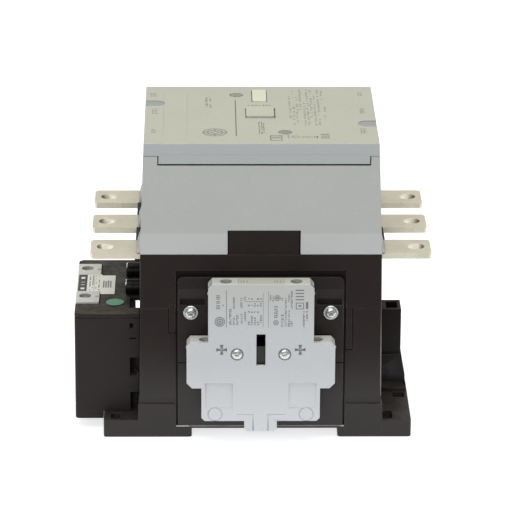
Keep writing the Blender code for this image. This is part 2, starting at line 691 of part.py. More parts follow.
# ---------------------------------------------------------------- auxiliary contact block
AUX_CORNER = 3.6
AUX_WING_X, AUX_WING_TOP = 49.3, 73.9
AUX_HALF = [                   # (x, z) of the +X half, bottom to top
    (5.0, 10.3), (9.2, 10.3), (10.9, 12.0), (10.9, 17.7),
    (37.5, 17.7), (39.5, 19.7), (39.5, 41.0),
    (AUX_WING_X - AUX_CORNER, 41.0), (AUX_WING_X, 41.0 + AUX_CORNER),
    (AUX_WING_X, AUX_WING_TOP - AUX_CORNER * 0.8), (AUX_WING_X - AUX_CORNER * 0.7, AUX_WING_TOP),
    (35.0, AUX_WING_TOP), (35.0, 111.9), (32.2, 114.9),
]


def make_aux_block(parent):
    hollow_y = (-79.0, -67.0)
    steps = [
        # main cavity, its upper extension, one in each wing, and a slot in the front
        cut(box(-32.5, 32.5, *hollow_y, 21.0, 95.0)),
        cut(box(-15.0, 15.0, *hollow_y, 90.0, 112.0)),
        cut(box(-47.0, -30.0, *hollow_y, 43.5, 61.0)),
        cut(box(30.0, 47.0, *hollow_y, 43.5, 61.0)),
        cut(box(-3, 3, -83.0, -78.0, 57.4, 79.5)),
    ]
    mounts = [(end * AUX_SCREW[0], AUX_SCREW[1]) for end in SIDES]
    # boss, head well and shank hole of each mounting screw
    for at in mounts:
        steps += [
            join(cylinder("y", at, -79.6, AUX_BACK, 5.4, 16)),
            cut(cylinder("y", at, -83.0, AUX_SCREW_SEAT + GAP, 4.2)),
            cut(cylinder("y", at, -81.0, -67.0, 2.1, 12)),
        ]
    for end in SIDES:
        for x, y, floor, well_r, pilot in AUX_TERMINALS:
            at = (end * x, y)
            steps += [
                cut(cylinder("z", at, floor, 116.0, well_r, 16)),
                cut(cylinder("z", at, pilot, floor + 1, 1.9, 10)),
            ]
    body = prism(AUX_HALF + [(-x, z) for x, z in reversed(AUX_HALF)], "y", AUX_FRONT, AUX_BACK)
    aux = piece("aux_block_housing", AUX, (0, AUX_BACK, 60), parent, body, steps)
    for i, at in enumerate(mounts, 1):
        screw(
            f"aux_mounting_screw_{i}", "y", at, AUX_SCREW_SEAT, -1,
            (3.6, AUX_SCREW_HEAD), (1.6, 16.5), aux,
        )
    spots = [(end * x, y, floor) for x, y, floor, _, _ in AUX_TERMINALS for end in SIDES]
    for i, (x, y, floor) in enumerate(spots, 1):
        name = f"aux_terminal_screw_{i}"
        screw(name, "z", (x, y), floor + GAP, 1, (3.3, 2.2), (1.5, 5.4), aux)


def make_aux_slider(parent):
    origin = (0, -74, 65)
    slide = empty("aux_slide", origin, parent)
    arm = box(-2.5, 2.5, -71.0, -52.6, 63.0, 67.0)
    piece("aux_slider", PLUG, origin, slide, box(-6, 6, -78.6, -70.2, 42.0, 70.0), [join(arm)])


# ---------------------------------------------------------------- coil module
def make_module_housing(parent):
    # (x, z): the wedge that meets the sloping end of the body
    wedge = [(-84.0, 25.5), (-81.5, 25.5), (MOD_FACE_X, MOD_WALL_TOP), (-84.0, MOD_WALL_TOP)]
    return piece(
        "coil_module_housing", MODULE, (MOD_X1, 0, 12.6), parent,
        prism(rounded(MOD_X0, MOD_X1, MOD_Y0, MOD_Y1, 2.5), "z", 7.0, MOD_WALL_TOP),
        [
            # extensions towards the body at both Y ends
            join(box(-88.4, -82.5, MOD_Y0, -39.0, 12.8, MOD_WALL_TOP)),
            join(prism(wedge, "y", MOD_Y0, -39.0)),
            join(box(-86.4, -82.5, 42.0, MOD_Y1 - 2.6, 12.8, 36.0)),
            # room for the foot of the base, then the cavity
            cut(box(-105.6, -80.0, -60, 60, 0.0, 12.6)),
            cut(box(-122.2, -87.8, -48.6, 52.6, 15.2, 90.0)),
            # notches at the +X, -Y corner
            cut(box(-87.4, -84.9, -52.0, -45.0, 71.8, 75.6)),
            cut(box(-87.4, -80.0, -52.0, -43.0, 40.2, 51.0)),
            cut(box(-87.4, -80.0, -52.0, -43.0, 10.0, 26.2)),
        ],
    )


def make_module_cover(module):
    """The module's cover, with a label and a round seal on it."""
    c = 2.5                    # corner chamfer
    outline = [
        (MOD_X0 + c, MOD_Y0), (MOD_FACE_X, MOD_Y0), (MOD_FACE_X, MOD_Y1 - c),
        (MOD_FACE_X - c, MOD_Y1), (MOD_X0 + c, MOD_Y1), (MOD_X0, MOD_Y1 - c), (MOD_X0, MOD_Y0 + c),
    ]
    cover = piece(
        "coil_module_cover", MODULE, (MOD_X0, 0, MOD_LID_BOTTOM), module,
        prism(outline, "z", MOD_LID_BOTTOM, MOD_TOP),
        [
            # opening for the terminal block, and a notch on the +X edge
            cut(box(-126.0, -108.1, -30.8, 44.8, MOD_TOP - 4, MOD_TOP + 1)),
            cut(box(-87.4, -80.0, -38.4, -18.0, MOD_TOP - 4, MOD_TOP + 1)),
        ],
    )
    low, high = MOD_TOP + GAP, MOD_TOP + 0.6
    piece(
        "coil_label", LABEL, (-110, 7, low), cover, box(-124.0, -107.6, -9.2, 23.8, low, high),
        [join(box(-108.1, -98.4, -14.1, 21.7, low, high))],
    )
    at = (-97.7, -29.8)
    seal = cylinder("z", at, low, MOD_TOP + 0.7, 6.15, 24)
    piece("green_seal", SEAL, (*at, low), cover, seal)


def make_coil_terminals(module):
    steps = [
        join(box(-121.6, -109.5, -28, 42, 68.0, MOD_TOP - 2.5)),
        # step down under the label
        cut(box(-126.0, -105.0, -9.6, 24.2, MOD_TOP, MOD_TOP + 2)),
    ]
    # head wells, then shank holes
    for z0, z1, r, sides in ((COIL_SCREW_FLOOR, 85.0, 4.0, 20), (67.0, 81.0, 1.9, 10)):
        for at in reversed(COIL_SCREWS):
            steps.append(cut(cylinder("z", at, z0, z1, r, sides)))
    outline = rounded(MOD_X0, -108.5, -30.4, 44.4, 0.8, 2)
    block = piece(
        "coil_terminal_block", TERMINAL, (-116.5, 7, MOD_LID_BOTTOM), module,
        prism(outline, "z", MOD_LID_BOTTOM, MOD_TOP + 0.9), steps,
    )
    for i, at in enumerate(COIL_SCREWS, 1):
        seat = COIL_SCREW_FLOOR + GAP
        screw(f"coil_terminal_screw_{i}", "z", at, seat, 1, (3.5, 2.0), (1.6, 9.0), block)


def make_lead_plugs(module):
    for i, y in enumerate(PLUG_Y, 1):
        at = (y, PLUG_Z)
        piece(
            f"coil_lead_plug_{i}", PLUG, (-86.5, y, PLUG_Z), module,
            cylinder("x", at, -91.0, -81.2, PLUG_R),
            [join(cylinder("x", at, -82.0, -78.4, 2.9, 12))], smooth=True,
        )


def make_module_board(module):
    """An upright board with two blocks on its +X face."""
    piece(
        "coil_module_board", BOARD, (-118, 0, 17), module,
        box(-119.4, -117.8, -44, 48, 17.0, 66.0),
        [
            join(box(-118.2, -104.0, -34, -12, 24.0, 48.0)),
            join(box(-118.2, -100.0, 6, 30, 24.0, 44.0)),
        ],
    )


# ---------------------------------------------------------------- assembly
contactor = empty("contactor", (0, 0, 0))
contactor.location = (POLES_X * MM, POLES_Y * MM, 0)

base = make_base_housing(contactor)
housing = make_contact_housing(contactor)
arc_cover = make_arc_cover(contactor)
make_top_lid(contactor)
for end, word in WORDS:
    for p in POLES:
        make_terminal_bar(end, word, p, housing)
        make_arc_chute(end, word, p, arc_cover)

make_fixed_magnet(base)
make_coil(base)
make_return_springs(base)

armature_slide = empty("armature_slide", (0, 0, ARM_BACK), contactor)
make_carrier(armature_slide)
make_armature(armature_slide)
make_indicator(armature_slide)
for p in POLES:
    make_bridge(p, armature_slide)

front_panel = make_side_panel(-1, "front", base)
make_side_panel(1, "rear", base)
make_aux_block(front_panel)
make_aux_slider(contactor)

coil_module = make_module_housing(contactor)
make_module_cover(coil_module)
make_coil_terminals(coil_module)
make_lead_plugs(coil_module)
make_module_board(coil_module)
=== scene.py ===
import json
import math
import random
from functools import cached_property

import bmesh
import bpy
from mathutils import Matrix, Vector

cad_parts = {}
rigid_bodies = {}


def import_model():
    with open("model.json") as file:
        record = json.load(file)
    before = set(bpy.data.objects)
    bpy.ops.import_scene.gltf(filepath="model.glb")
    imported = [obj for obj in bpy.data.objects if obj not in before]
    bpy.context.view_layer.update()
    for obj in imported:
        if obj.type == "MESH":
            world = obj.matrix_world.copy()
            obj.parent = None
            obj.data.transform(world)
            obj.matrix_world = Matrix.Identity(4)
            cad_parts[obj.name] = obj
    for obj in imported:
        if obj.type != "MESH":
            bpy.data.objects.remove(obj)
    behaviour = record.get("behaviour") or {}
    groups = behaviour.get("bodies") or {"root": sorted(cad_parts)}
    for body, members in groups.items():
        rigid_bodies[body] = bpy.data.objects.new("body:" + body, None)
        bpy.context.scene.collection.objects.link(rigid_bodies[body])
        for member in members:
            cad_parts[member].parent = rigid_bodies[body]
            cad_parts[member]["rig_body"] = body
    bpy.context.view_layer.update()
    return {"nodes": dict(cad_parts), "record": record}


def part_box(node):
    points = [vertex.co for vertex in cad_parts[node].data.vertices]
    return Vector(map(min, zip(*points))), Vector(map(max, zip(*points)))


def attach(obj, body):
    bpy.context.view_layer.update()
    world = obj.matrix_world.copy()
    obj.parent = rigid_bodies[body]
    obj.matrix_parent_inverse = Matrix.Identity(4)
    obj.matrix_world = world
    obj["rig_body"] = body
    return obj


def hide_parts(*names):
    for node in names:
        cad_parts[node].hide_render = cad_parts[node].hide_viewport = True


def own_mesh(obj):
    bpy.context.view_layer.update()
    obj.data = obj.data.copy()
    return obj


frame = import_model()
nodes = frame["nodes"]
SLOTS = {part["node"]: part["material_slot"] for part in frame["record"]["subparts"]}
scene = bpy.context.scene
for extra in ("Cube", "Light", "Camera"):
    if extra in bpy.data.objects:
        bpy.data.objects.remove(bpy.data.objects[extra], do_unlink=True)

MM = 0.001


def middle(low, high):
    """Halfway between two places in metres, in millimetres."""
    return (low + high) * 500


# Shapes are in millimetres about the middle of the poles, with the floor at z = 0.
cover_low, cover_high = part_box("arc_cover")
CENTRE_X = round(middle(cover_low.x, cover_high.x), 3)
CENTRE_Y = round(middle(cover_low.y, cover_high.y), 3)

# Places that several pieces or finishes share.
LID_WELLS = ((-15.6, 43.0), (15.9, -39.5))  # x, y
COIL_SCREWS = ((-118.2, -18.4), (-118.0, 35.4))  # x, y
AUX_UPPER = (23.3, -75.6)  # x, y of the upper terminal screws, repeated at -x
AUX_LOWER = (37.1, -75.8)  # and of the lower ones
AUX_MOUNT = (15.8, 65.3)  # x, z of the mounting screws, repeated at -x
BAR_HOLE_X = 103.2
BAR_PITCH = 51.0
POLE_PITCH = 46.0
SIDES = (-1, 1)
POLES = (-1, 0, 1)


def scene_x(x):
    return (x + CENTRE_X) * MM


def scene_y(y):
    return (y + CENTRE_Y) * MM


def mirrored(side, a, b):
    """A span on one side of the middle or the other, low end first."""
    return sorted((side * a, side * b))


# ------------------------------------------------------------------ shapes
def outward(mesh):
    bmesh.ops.recalc_face_normals(mesh, faces=mesh.faces)
    return mesh


def placed(axis, across, up, along):
    """A point from two coordinates across an axis and one along it."""
    return {"x": (along, across, up), "y": (across, along, up), "z": (across, up, along)}[axis]


def circle(radius, sides, centre=(0, 0)):
    turns = [2 * math.pi * i / sides for i in range(sides)]
    return [(centre[0] + radius * math.cos(t), centre[1] + radius * math.sin(t)) for t in turns]


def add_ring(mesh, axis, points, along):
    return [mesh.verts.new(placed(axis, *point, along)) for point in points]


def join_rings(mesh, one, two):
    for i in range(len(one)):
        j = (i + 1) % len(one)
        mesh.faces.new((one[i], one[j], two[j], two[i]))


def box(x0, x1, y0, y1, z0, z1):
    mesh = bmesh.new()
    bmesh.ops.create_cube(mesh, size=1.0)
    for vert in mesh.verts:
        x, y, z = vert.co
        vert.co = Vector((x0 if x < 0 else x1, y0 if y < 0 else y1, z0 if z < 0 else z1))
    return outward(mesh)


def loft(start, end):
    """A closed solid between two matching outlines."""
    mesh = bmesh.new()
    one, two = ([mesh.verts.new(point) for point in outline] for outline in (start, end))
    mesh.faces.new(one)
    mesh.faces.new(two[::-1])
    join_rings(mesh, one, two)
    return outward(mesh)


def prism(outline, axis, start, end):
    return loft(*([placed(axis, *point, along) for point in outline] for along in (start, end)))


def rounded(x0, x1, y0, y1, radius, steps=12):
    """The outline of a rectangle with round corners."""
    corners = (
        (x1 - radius, y1 - radius, 0),
        (x0 + radius, y1 - radius, 90),
        (x0 + radius, y0 + radius, 180),
        (x1 - radius, y0 + radius, 270),
    )
    points = []
    for x, y, start in corners:
        for i in range(steps + 1):
            turn = math.radians(start + 90 * i / steps)
            points.append((x + radius * math.cos(turn), y + radius * math.sin(turn)))
    return points


def cylinder(axis, centre, start, end, radius, sides=48):
    return prism(circle(radius, sides, centre), axis, start, end)


def lathe(profile, axis="z", centre=(0, 0), sides=48):
    """(radius, height) pairs from one pole to the other, turned about an axis."""
    mesh = bmesh.new()
    rings = []
    for radius, along in profile:
        points = [centre] if radius < 1e-6 else circle(radius, sides, centre)
        rings.append(add_ring(mesh, axis, points, along))
    for one, two in zip(rings, rings[1:]):
        if len(one) == len(two):
            join_rings(mesh, one, two)
            continue
        for i in range(sides):
            j = (i + 1) % sides
            if len(one) == 1:
                mesh.faces.new((one[0], two[j], two[i]))
            else:
                mesh.faces.new((one[i], one[j], two[0]))
    return outward(mesh)


def flat_ring(axis, centre, inner, outer, face, depth, sides):
    mesh = bmesh.new()
    back = face + depth
    corners = ((inner, face), (outer, face), (outer, back), (inner, back))
    rings = [add_ring(mesh, axis, circle(r, sides, centre), along) for r, along in corners]
    for one, two in zip(rings, rings[1:] + rings[:1]):
        join_rings(mesh, one, two)
    return outward(mesh)


def merged(parts):
    """Several separate closed shapes in one mesh."""
    whole = bmesh.new()
    for part in parts:
        data = bpy.data.meshes.new("scratch")
        part.to_mesh(data)
        part.free()
        whole.from_mesh(data)
        bpy.data.meshes.remove(data)
    return whole


def turned(mesh, matrix):
    bmesh.ops.transform(mesh, matrix=matrix, verts=mesh.verts)
    return mesh


def tidy(mesh):
    """Welds doubled points and dissolves the edges inside flat faces."""
    bmesh.ops.remove_doubles(mesh, verts=mesh.verts, dist=0.002)
    bmesh.ops.dissolve_limit(
        mesh, angle_limit=math.radians(0.3), verts=mesh.verts, edges=mesh.edges
    )


def to_object(name, mesh):
    for vert in mesh.verts:
        vert.co = Vector((scene_x(vert.co.x), scene_y(vert.co.y), vert.co.z * MM))
    data = bpy.data.meshes.new(name)
    mesh.to_mesh(data)
    mesh.free()
    piece = bpy.data.objects.new(name, data)
    scene.collection.objects.link(piece)
    return piece


def cad(node):
    """A CAD node's shape as clean polygons."""
    mesh = bmesh.new()
    mesh.from_mesh(nodes[node].data)
    for vert in mesh.verts:
        x, y, z = vert.co
        vert.co = Vector((x / MM - CENTRE_X, y / MM - CENTRE_Y, z / MM))
    tidy(mesh)
    return outward(mesh)


def soften(mesh, width, segments):
    """Rounds the sharp outer edges that have room for it."""
    shortest = {
        vert: min(edge.calc_length() for edge in vert.link_edges)
        for vert in mesh.verts
        if vert.link_edges
    }
    chosen = [
        edge
        for edge in mesh.edges
        if len(edge.link_faces) == 2
        and edge.calc_face_angle(0.0) >= math.radians(30)
        and edge.is_convex
        and min(shortest[vert] for vert in edge.verts) >= width * 1.7
    ]
    if chosen:
        bmesh.ops.bevel(
            mesh, geom=chosen, offset=width, offset_type="OFFSET", segments=segments,
            profile=0.5, affect="EDGES", clamp_overlap=False,
        )


def shaped(name, base, steps=(), bevel=0.0, segments=2, shade=32):
    """A base shape, then shapes joined ("+") and cut ("-") in turn, then its edges rounded."""
    piece = to_object(name, base)
    tools = []
    for i, (sign, shape) in enumerate(steps):
        tool = to_object(f"{name}.t{i}", shape)
        tools.append(tool)
        boolean = piece.modifiers.new(f"b{i}", "BOOLEAN")
        boolean.operation = "UNION" if sign == "+" else "DIFFERENCE"
        boolean.solver = "EXACT"
        boolean.object = tool
    if tools:
        bpy.context.view_layer.update()
        evaluated = piece.evaluated_get(bpy.context.evaluated_depsgraph_get())
        made = bpy.data.meshes.new_from_object(evaluated)
        piece.modifiers.clear()
        piece.data = made
        for tool in tools:
            bpy.data.objects.remove(tool, do_unlink=True)
    mesh = bmesh.new()
    mesh.from_mesh(piece.data)
    for vert in mesh.verts:
        vert.co /= MM
    tidy(mesh)
    if bevel:
        soften(mesh, bevel, segments)
    for vert in mesh.verts:
        vert.co *= MM
    mesh.to_mesh(piece.data)
    mesh.free()
    piece.data.shade_smooth()
    piece.data.set_sharp_from_angle(angle=math.radians(shade))
    if bevel:
        weighted = piece.modifiers.new("even shading", "WEIGHTED_NORMAL")
        weighted.keep_sharp = True
        weighted.weight = 80
    return piece


def dress(piece, finish, body, slot, *stands_for):
    piece.data.materials.clear()
    piece.data.materials.append(finish)
    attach(piece, body)
    if stands_for:
        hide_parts(*stands_for)


def dress_node(piece, finish, node):
    dress(piece, finish, nodes[node]["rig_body"], SLOTS[node], node)


def skin(node, finish, steps=(), bevel=0.4, segments=2):
    """A finished piece built on a CAD node's own shape, in the same place."""
    dress_node(shaped(node + "_skin", cad(node), steps, bevel, segments), finish, node)


# ------------------------------------------------------------------ shader graphs
def linear(rgb):
    out = []
    for channel in rgb:
        value = channel / 255.0
        out.append(value / 12.92 if value <= 0.04045 else ((value + 0.055) / 1.055) ** 2.4)
    return (*out, 1.0)


def scaled(colour, factor):
    return tuple(min(1.0, max(0.0, c * factor)) for c in colour[:3]) + (1.0,)


class Graph:
    """A material and its node tree. Its coordinates are in metres."""

    def __init__(self, name):
        self.material = bpy.data.materials.new(name)
        self.material.use_nodes = True
        self.tree = self.material.node_tree
        self.shader = self.tree.nodes["Principled BSDF"]
        self.coords = self.add("ShaderNodeTexCoord").outputs["Object"]

    @cached_property
    def xyz(self):
        return self.add("ShaderNodeSeparateXYZ", {"Vector": self.coords}).outputs

    def add(self, kind, inputs=None, **settings):
        node = self.tree.nodes.new(kind)
        for key, value in settings.items():
            setattr(node, key, value)
        for key, value in (inputs or {}).items():
            self.put(node.inputs[key], value)
        return node

    def put(self, socket, value):
        if isinstance(value, bpy.types.NodeSocket):
            self.tree.links.new(value, socket)
        else:
            socket.default_value = value

    def surface(self, inputs, viewport=None):
        """Sets the shader's inputs and the viewport colour."""
        for key, value in inputs.items():
            self.put(self.shader.inputs[key], value)
        if viewport:
            self.material.diffuse_color = viewport
        return self.material

    def noise(self, scale, detail=2.0, rough=0.5, stretch=None):
        at = self.coords
        if stretch:
            mapping = self.add("ShaderNodeMapping", {"Vector": at, "Scale": stretch})
            at = mapping.outputs["Vector"]
        inputs = {"Vector": at, "Scale": scale, "Detail": detail, "Roughness": rough}
        return self.add("ShaderNodeTexNoise", inputs).outputs["Fac"]

    def span(self, value, over, to=(0.0, 1.0), smooth=False):
        """Carries one range of a value onto another, held at both ends."""
        inputs = {
            "Value": value, "From Min": over[0], "From Max": over[1],
            "To Min": to[0], "To Max": to[1],
        }
        kind = "SMOOTHSTEP" if smooth else "LINEAR"
        return self.add("ShaderNodeMapRange", inputs, interpolation_type=kind).outputs["Result"]

    def math(self, kind, one, two=0.0):
        return self.add("ShaderNodeMath", {0: one, 1: two}, operation=kind).outputs[0]

    def times(self, one, two):
        return self.math("MULTIPLY", one, two)

    def mix(self, amount, one, two, kind="MIX"):
        inputs = {0: amount, 6: one, 7: two}
        node = self.add("ShaderNodeMix", inputs, data_type="RGBA", blend_type=kind)
        return node.outputs[2]

    def normal(self):
        vector = self.add("ShaderNodeNewGeometry").outputs["Normal"]
        return self.add("ShaderNodeSeparateXYZ", {"Vector": vector}).outputs

    def bump(self, strength, distance, height):
        inputs = {"Strength": strength, "Distance": distance, "Height": height}
        return self.add("ShaderNodeBump", inputs).outputs["Normal"]

    def ribs(self, axis, pitch):
        """0 between ribs and 1 on their crests, at a pitch along an axis."""
        wave = self.math("SINE", self.times(self.xyz[axis], math.pi / pitch))
        return self.math("ABSOLUTE", wave)

    def off_centre(self, axis):
        """Distance either way from the middle of the poles, along X or Y."""
        centre = {"X": scene_x(0), "Y": scene_y(0)}[axis]
        return self.math("ABSOLUTE", self.math("SUBTRACT", self.xyz[axis], centre))

    def distance_to(self, x, y):
        """Distance in plan from a point given in millimetres."""
        plan = self.add("ShaderNodeCombineXYZ", {"X": self.xyz["X"], "Y": self.xyz["Y"]})
        ends = {0: plan.outputs["Vector"], 1: (scene_x(x), scene_y(y), 0.0)}
        return self.add("ShaderNodeVectorMath", ends, operation="DISTANCE").outputs["Value"]

    def edges(self, radius):
        """1 on a rounded or sharp edge, 0 on a face."""
        bent = self.add("ShaderNodeBevel", {"Radius": radius}, samples=4).outputs["Normal"]
        true = self.add("ShaderNodeNewGeometry").outputs["Normal"]
        dot = self.add("ShaderNodeVectorMath", {0: bent, 1: true}, operation="DOT_PRODUCT")
        return self.span(dot.outputs["Value"], over=(0.985, 0.86))


# ------------------------------------------------------------------ kinds of material
def moulding(
    name, rgb, rough, vary, bump=0.25, edge_wear_and_light=0.25, edge_wear_and_light_to=1.35, dust=0.0, tint=None,
    level=0.5, coat=0.0,
):
    """Injection-moulded plastic: fine eroded grain, faint flow blotches and paler edges."""
    graph = Graph(name)
    base = linear(rgb)
    flow = graph.noise(scale=28.0, detail=3.0, rough=0.55)
    speck = graph.noise(scale=1500.0, rough=0.6)
    blotches = graph.span(flow, over=(0.3, 0.7))
    colour = graph.mix(blotches, scaled(base, 1 - vary), scaled(base, 1 + vary))
    darker = graph.mix(1.0, colour, (0.93, 0.93, 0.93, 1), "MULTIPLY")
    colour = graph.mix(graph.span(speck, over=(0.35, 0.65)), colour, darker)
    if tint:
        colour = tint(graph, colour)
    # paler edges: partly wear, partly painted highlight along the edges
    if edge_wear_and_light:
        uneven = graph.noise(scale=160.0, detail=3.0)
        uneven = graph.span(uneven, over=(0.35, 0.6), to=(0.35, 1.0))
        patchy = graph.times(graph.edges(radius=0.0007), uneven)
        colour = graph.mix(graph.times(patchy, edge_wear_and_light), colour, scaled(base, edge_wear_and_light_to))
    if dust:
        # fine pale dust lies on what faces up
        facing_up = graph.span(graph.normal()["Z"], over=(0.6, 1.0))
        drifts = graph.noise(scale=90.0, detail=5.0, rough=0.7)
        drifts = graph.span(drifts, over=(0.42, 0.62), to=(0.2, 1.0))
        lies = graph.times(facing_up, drifts)
        colour = graph.mix(graph.times(lies, dust), colour, linear((150, 146, 138)))
    polish = graph.noise(scale=420.0, detail=3.0)
    grain_scale = 4200.0
    coarse = graph.times(graph.noise(scale=grain_scale * 0.28), 0.6)
    height = graph.math("ADD", graph.noise(scale=grain_scale, rough=0.6), coarse)
    inputs = {
        "Base Color": colour,
        "Roughness": graph.span(polish, over=(0.3, 0.7), to=(rough - 0.05, rough + 0.07)),
        "Specular IOR Level": level(graph) if callable(level) else level,
        "Normal": graph.bump(strength=bump, distance=0.00004, height=height),
    }
    if coat:
        inputs.update({"Coat Weight": coat, "Coat Roughness": 0.25})
    return graph.surface(inputs, viewport=base)


def ink(name, rgb, vary=0.06):
    return moulding(name, rgb, rough=0.6, vary=vary, bump=0.05, edge_wear_and_light=0.0)


def metal(
    name, rgb, rough, stretch, streak, blotch, edge_wear_and_light=0.3, dark=None, metallic=1.0,
    scale=900.0, tint=None,
):
    """Plated or bare metal: drawn streaks, cloudy plating, bright edges."""
    graph = Graph(name)
    base = linear(rgb)
    cloud = graph.noise(scale=70.0, detail=4.0, rough=0.6)
    lines = graph.noise(scale=scale, detail=3.0, rough=0.65, stretch=stretch)
    clouded = graph.span(cloud, over=(0.35, 0.65))
    colour = graph.mix(clouded, scaled(base, 1 - blotch), scaled(base, 1 + blotch))
    streaks = graph.times(graph.span(lines, over=(0.35, 0.65)), streak)
    colour = graph.mix(streaks, colour, scaled(base, 0.55))
    if dark:
        stains = graph.noise(scale=210.0, detail=5.0, rough=0.7)
        stains = graph.span(stains, over=(0.6, 0.8), to=(0.0, 0.5))
        colour = graph.mix(stains, colour, linear(dark))
    if tint:
        colour = tint(graph, colour)
    # bright edges: partly wear, partly painted highlight along the edges
    bright = graph.times(graph.edges(radius=0.0005), edge_wear_and_light)
    colour = graph.mix(bright, colour, scaled(base, 1.25))
    line_rough = graph.span(lines, over=(0.3, 0.7), to=(rough - 0.06, rough + 0.08))
    cloud_rough = graph.span(cloud, over=(0.35, 0.65), to=(-0.04, 0.06))
    inputs = {
        "Base Color": colour,
        "Metallic": metallic,
        "Roughness": graph.math("ADD", line_rough, cloud_rough),
        "Normal": graph.bump(strength=0.2, distance=0.00003, height=lines),
    }
    return graph.surface(inputs, viewport=base)


def wound(name, rgb):
    """Enamelled wire laid turn on turn."""
    graph = Graph(name)
    base = linear(rgb)
    waves = graph.ribs("Z", pitch=0.0011)
    colour = graph.mix(waves, scaled(base, 0.35), scaled(base, 1.15))
    cloud = graph.noise(scale=120.0, detail=3.0)
    cloud = graph.span(cloud, over=(0.3, 0.7), to=(0.0, 0.3))
    inputs = {
        "Base Color": graph.mix(cloud, colour, scaled(base, 0.6)),
        "Roughness": 0.32,
        "Metallic": 0.35,
        "Normal": graph.bump(strength=0.6, distance=0.0003, height=waves),
    }
    return graph.surface(inputs, viewport=base)


def laminated(name, rgb):
    """Stacked electrical steel: fine lines across the stack, a little rust bloom."""
    graph = Graph(name)
    base = linear(rgb)
    leaf = graph.span(graph.ribs("Y", pitch=0.0010), over=(0.0, 0.35))
    colour = graph.mix(leaf, scaled(base, 0.35), base)
    rust = graph.noise(scale=150.0, detail=4.0, rough=0.65)
    rust = graph.span(rust, over=(0.55, 0.75), to=(0.0, 0.35))
    grinding = graph.noise(scale=500.0, detail=3.0)
    inputs = {
        "Base Color": graph.mix(rust, colour, linear((96, 70, 52))),
        "Metallic": 0.9,
        "Roughness": graph.span(grinding, over=(0.3, 0.7), to=(0.36, 0.52)),
        "Normal": graph.bump(strength=0.4, distance=0.0001, height=leaf),
    }
    return graph.surface(inputs, viewport=base)


# ------------------------------------------------------------------ tints
# Each paints over a colour where its masks are 1. Ranges of place are in metres.
def past_the_end(graph):
    """1 on the tower and its foot, clear of the body's load end, and 0 elsewhere."""
    beyond = graph.span(graph.xyz["X"], over=(scene_x(81.95), scene_x(82.05)))
    return graph.times(beyond, graph.span(graph.xyz["Z"], over=(0.0127, 0.0129)))


def low_sheen(bottom, top):
    """Sheen that changes with height, and is weaker on the tower, in the body's shade."""

    def level(graph):
        sheen = graph.span(graph.xyz["Z"], over=(0.028, 0.078), to=(bottom, top), smooth=True)
        return graph.times(sheen, graph.span(past_the_end(graph), over=(0.0, 1.0), to=(1.0, 0.6)))

    return level


def black_tint(graph, colour):
    """A little paler and cooler near the floor: painted light from the floor. Below it, painted
    shade on the tower and painted highlights.
    """
    height = graph.xyz["Z"]
    # painted light: paler and cooler towards the floor
    floor_light = graph.span(height, over=(0.070, 0.020), to=(0.0, 0.55), smooth=True)
    colour = graph.mix(floor_light, colour, linear((52, 48, 50)))
    # painted shade: the tower and its foot are darkened
    colour = graph.mix(graph.times(past_the_end(graph), 0.4), colour, linear((22, 18, 17)))
    # painted highlight along the top edge of the rail between the feet
    front = graph.math("SUBTRACT", scene_y(0), graph.xyz["Y"])
    rail_highlight = graph.times(
        graph.span(height, over=(0.00765, 0.00775)), graph.span(height, over=(0.00855, 0.0085))
    )
    between_feet = graph.span(graph.off_centre("X"), over=(0.0563, 0.0562))
    on_front = graph.span(front, over=(0.0664, 0.0665))
    rail_highlight = graph.times(rail_highlight, graph.times(between_feet, on_front))
    uneven = graph.noise(scale=60.0, detail=3.0)
    uneven = graph.span(uneven, over=(0.3, 0.6), to=(0.75, 1.0))
    colour = graph.mix(graph.times(rail_highlight, uneven), colour, linear((196, 196, 198)))
    # and a painted highlight down the load end's tall front edge
    facing = graph.normal()
    corner = graph.times(
        graph.span(facing["X"], over=(0.45, 0.62)), graph.span(facing["X"], over=(0.97, 0.90))
    )
    at_front = graph.span(graph.xyz["Y"], over=(scene_y(-60.0), scene_y(-61.0)))
    below_top = graph.span(height, over=(0.100, 0.060), smooth=True)
    corner = graph.times(corner, graph.times(at_front, below_top))
    above_foot = graph.span(height, over=(0.0126, 0.0130))
    at_end = graph.span(graph.xyz["X"], over=(scene_x(78.0), scene_x(79.0)))
    corner = graph.times(corner, graph.times(above_foot, at_end))
    uneven = graph.noise(scale=40.0, detail=3.0)
    uneven = graph.span(uneven, over=(0.3, 0.6), to=(0.3, 0.55))
    return graph.mix(graph.times(corner, uneven), colour, linear((150, 148, 146)))


def plug_tint(graph, colour):
    """Small specks of painted glint on the lit outer rim of the rubber plugs."""
    facing = graph.normal()
    outer = graph.span(graph.xyz["X"], over=(scene_x(-88.2), scene_x(-88.6)))
    rim = graph.times(graph.span(facing["X"], over=(-0.15, -0.32)), outer)
    lit_arc = graph.times(
        graph.span(facing["Y"], over=(-0.72, -0.60)), graph.span(facing["Z"], over=(0.30, 0.42))
    )
    rim = graph.times(rim, lit_arc)
    glint_specks = graph.span(graph.noise(scale=600.0), over=(0.42, 0.54), to=(0.2, 1.0))
    return graph.mix(graph.times(rim, glint_specks), colour, linear((236, 236, 232)))


def bar_tint(graph, colour):
    """The walls of the bolt holes: painted light towards the body, painted shade towards the
    bar's end.
    """
    for side in SIDES:
        for pole in POLES:
            x = side * BAR_HOLE_X
            far = graph.distance_to(x, pole * BAR_PITCH)
            wall = graph.span(far, over=(0.00572, 0.00562))
            along = graph.times(
                graph.math("SUBTRACT", graph.xyz["X"], scene_x(x)), float(side)
            )
            wall_shade = graph.span(along, over=(0.0020, 0.0046))
            wall_light_and_shade = graph.mix(wall_shade, linear((248, 240, 228)), linear((128, 122, 110)))
            colour = graph.mix(wall, colour, wall_light_and_shade)
    return colour


